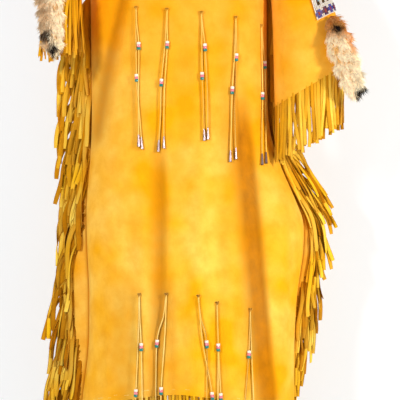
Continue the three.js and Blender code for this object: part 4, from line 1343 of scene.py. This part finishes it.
def fur_tree():
    numbers = [(label, "Float") for label in ("Density", "Lift", "Lock", "Stray", "Lock Size")]
    tree, given = new_tree("fur", ("Hair", "Object"), *numbers, ("Seed", "Int"), ("Material", "Material"))
    spots = add(tree, "GeometryNodeDistributePointsOnFaces", {
        "Mesh": given["Geometry"], "Density": given["Density"], "Seed": given["Seed"]})
    out = spots.outputs["Normal"]
    away = vector_maths(tree, "SCALE", out, given["Lift"])
    stray = add(tree, "FunctionNodeRandomValue", {
        "Min": (-1, -1, -1), "Max": (1, 1, 1), "Seed": given["Seed"]}, data_type="FLOAT_VECTOR")
    stray = vector_maths(tree, "SCALE", stray, given["Stray"])
    place = add(tree, "GeometryNodeInputPosition")
    curls = add(tree, "ShaderNodeTexNoise", {
        "Vector": place, "Scale": maths(tree, "DIVIDE", 1.0, given["Lock Size"]), "Detail": 1.0})
    curls = vector_maths(tree, "SUBTRACT", curls.outputs["Color"], (0.5, 0.5, 0.5))
    curls = vector_maths(tree, "SCALE", curls, given["Lock"])
    aim = vector_maths(tree, "ADD", named(tree, "lie"), away)
    aim = vector_maths(tree, "ADD", aim, vector_maths(tree, "ADD", stray, curls))
    size = add(tree, "FunctionNodeRandomValue", {"Min_001": 0.6, "Max_001": 1.15, "Seed": 7})
    points = stored(tree, spots.outputs["Points"], "outward", out, "FLOAT_VECTOR")
    hairs = instances(tree, points, given["Hair"], aim, out, size)
    both = add(tree, "GeometryNodeJoinGeometry", {"Geometry": given["Geometry"]})
    feed(tree, both, {"Geometry": hairs})
    return close_tree(tree, both, given["Material"])


FUR, grizzled = fur_tree(), fur_material()
hair = one_hair(HAIR["length"], HAIR["root"])
for name in FUR_TAILS:
    skin = fur_skin(name)
    area = sum(polygon.area for polygon in skin.polygons)
    sizes = {"Density": HAIR["count"] / area, "Lift": HAIR["lift"], "Lock": 4 * HAIR["lock"],
             "Stray": HAIR["stray"], "Lock Size": HAIR["lock_size"] * MM}
    piece = grown(name + "_fur_tail_haired", skin, FUR, Hair=hair, Seed=5, Material=grizzled, **sizes)
    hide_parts(name + "_fur_tail")
    fringe_pieces[name + "_fur"] = piece
    print(piece.name, len(piece.data.polygons), "faces")
for pattern in (hair, crow_bead, tin_cone, seed_bead):  # what the trees copied isn't needed now
    bpy.data.objects.remove(pattern)

# %% [markdown]
# ## Sewing
# The strips of the hem fringe are sewn on with running stitches of thin thong, uneven as hand
# sewing is. Each is a copy of one stitch, drawn out to its own length along the hem.

# %% Stitches
STITCH = dict(radius=1.3, length=12, count=27, raised=0.3)


def one_stitch():
    """A little bent sausage along Z, one millimetre to a unit of length."""
    at = np.array([-0.5, -0.44, -0.3, 0, 0.3, 0.44, 0.5])[:, None]
    thick = np.array([0.15, 0.7, 0.95, 1, 0.95, 0.7, 0.15])[:, None] * STITCH["radius"]
    turn = np.arange(6) * 2 * math.pi / 6
    rings = np.stack([thick * np.cos(turn) + (0.8 - 3.6 * at**2), thick * np.sin(turn), at + 0 * turn], -1)
    return new_piece("stitch", rings, tube_faces(*rings.shape[:2]), smooth_angle=70)


stitch_pieces, stitch = {}, one_stitch()
for face, name in ((-1, "front"), (1, "back")):
    count = STITCH["count"]
    u = np.linspace(-0.93, 0.93, count) + rng.normal(0, 0.006, count)
    above = rng.uniform(7, 15, count)
    points = hem_point(face, u, -above)
    ahead = unit(hem_point(face, u + 0.01, -above) - hem_point(face, u - 0.01, -above))
    outward = unit(np.cross(ahead, UP) * face)
    lengths = STITCH["length"] * rng.uniform(0.5, 1.4, count)
    seats = host(name, points + outward * STITCH["raised"], aim=ahead, side=outward,
                 size=np.stack([np.ones(count), np.ones(count), lengths], -1), shade=np.full(count, 0.9))
    piece = grown("hem_stitches_" + name, seats, COPIES, Copy=stitch, Material=thong_hide)
    stitch_pieces[name] = piece
    print(piece.name, count, "stitches")
bpy.data.objects.remove(stitch)

# %% [markdown]
# ## What rides on what, and the cut of each sheet
# Nothing on the dress moves on a joint, so every piece rides on the one body. The flat cut of each hide is
# worked out along its own rows and printed.

# %% Riding, and the cut of each sheet
CM = 0.01


def declare(piece, grid, looped):
    """Prints the size of a piece's flat cut, rounded up to a centimetre, and its area."""
    (width, length), area = cut_size(grid, looped)
    width, length = math.ceil(width / CM) * CM, math.ceil(length / CM) * CM
    print(f"{piece.name}: cut {width:.2f} x {length:.2f} m, {area:.3f} m2")


slots = {
    "buckskin": [*body_pieces.values(), *sleeve_pieces.values()],
    "fringe_hide": [p for key, p in fringe_pieces.items() if not key.endswith(("band", "fur"))],
    "beadwork": [fringe_pieces[name + "_band"] for name in SLEEVES],
    "fur": [fringe_pieces[name + "_fur"] for name in SLEEVES],
    "tassel_thong": [*tassel_pieces, *stitch_pieces.values()],
}
for slot, pieces in slots.items():
    for piece in pieces:
        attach(piece, "root")
declare(body_pieces[-1], panels[-1], False)
declare(body_pieces[1], panels[1], False)
for name, piece in sleeve_pieces.items():
    declare(piece, sleeve_grids[name], True)

# %% [markdown]
# ## The stage
# A white wall stands close behind and a pale floor lies below. One soft lamp stands to the right,
# and a weaker one lights the front from the left. The wall is clear from behind, so that the back
# of the dress can be looked at too.

# %% Wall, floor and light
WALL = dict(y=0.19, half=5.0, floor=-1.56)


def stage_plane(name, corners, material):
    mesh = bpy.data.meshes.new(name)
    mesh.from_pydata(corners, [], [(0, 1, 2, 3)])
    mesh.materials.append(material)
    placed(name, mesh)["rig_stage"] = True


def stage_material(name, code, glow, one_sided):
    material, tree, shader = new_material(name)
    feed(tree, shader, {"Base Color": colour(code), "Roughness": 0.9, "Emission Color": colour("#ffffff"),
                        "Emission Strength": glow})
    if one_sided:
        behind = add(tree, "ShaderNodeNewGeometry").outputs["Backfacing"]
        clear = add(tree, "ShaderNodeBsdfTransparent")
        both = add(tree, "ShaderNodeMixShader", {0: behind, 1: shader, 2: clear})
        feed(tree, tree.nodes["Material Output"], {"Surface": both})
    return material


wall_y, wide, floor_z = WALL["y"], WALL["half"], WALL["floor"]
stage_plane("wall", [(-wide, wall_y, floor_z), (wide, wall_y, floor_z), (wide, wall_y, wide),
                     (-wide, wall_y, wide)], stage_material("white_wall", "#a3a8ad", 0.565, True))
stage_plane("floor", [(-wide, -wide, floor_z), (wide, -wide, floor_z), (wide, wide, floor_z),
                      (-wide, wide, floor_z)], stage_material("pale_floor", "#efede8", 0.0, False))


MIDDLE = (0.04, 0.0, -0.75)


def lamp(name, place, size, power, tint):
    """A round lamp that looks at the middle of the dress. The camera doesn't see it."""
    data = bpy.data.lights.new(name, "AREA")
    data.shape, data.size, data.energy, data.color = "DISK", size, power, colour(tint)[:3]
    light = placed(name, data)
    light.location = place
    light.rotation_euler = (Vector(MIDDLE) - Vector(place)).to_track_quat("-Z", "Y").to_euler()
    light.visible_camera = False


lamp("key_lamp", (3.0, -2.5, 0.3), 0.6, 122, "#fffaf2")
lamp("front_lamp", (-2.0, -3.3, 0.5), 0.5, 94, "#ffffff")
world = bpy.data.worlds.new("studio")
world.use_nodes = True
feed(world.node_tree, world.node_tree.nodes["Background"], {"Color": colour("#ffffff"), "Strength": 0.12})
bpy.context.scene.world = world
bpy.context.scene.view_settings.view_transform = "Standard"
print("stage set")

# %% [markdown]
# ## The camera
# It stands level in front of the dress, far off with a long lens, and takes in the part from the
# chest to the hem.

# %% Camera
VIEW = dict(x=0.041, z=-0.75, width=0.96, plane=-0.09, lens=180, sensor=36)
camera_data = bpy.data.cameras.new("camera")
camera_data.lens, camera_data.sensor_width = VIEW["lens"], VIEW["sensor"]
distance = VIEW["width"] * VIEW["lens"] / VIEW["sensor"]
camera_data.clip_end = 4 * distance
camera = placed("camera", camera_data)
camera.location = (VIEW["x"], VIEW["plane"] - distance, VIEW["z"])
camera.rotation_euler = (math.pi / 2, 0, 0)
bpy.context.scene.camera = camera
print("the camera stands", round(distance, 2), "m in front")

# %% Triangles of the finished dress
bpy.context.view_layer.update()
shown = [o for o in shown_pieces() if "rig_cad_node" not in o]
triangles = {o.name: sum(len(p.vertices) - 2 for p in o.data.polygons) for o in shown}
print("triangles:", sum(triangles.values()), "most:", max(triangles.items(), key=lambda item: item[1]))
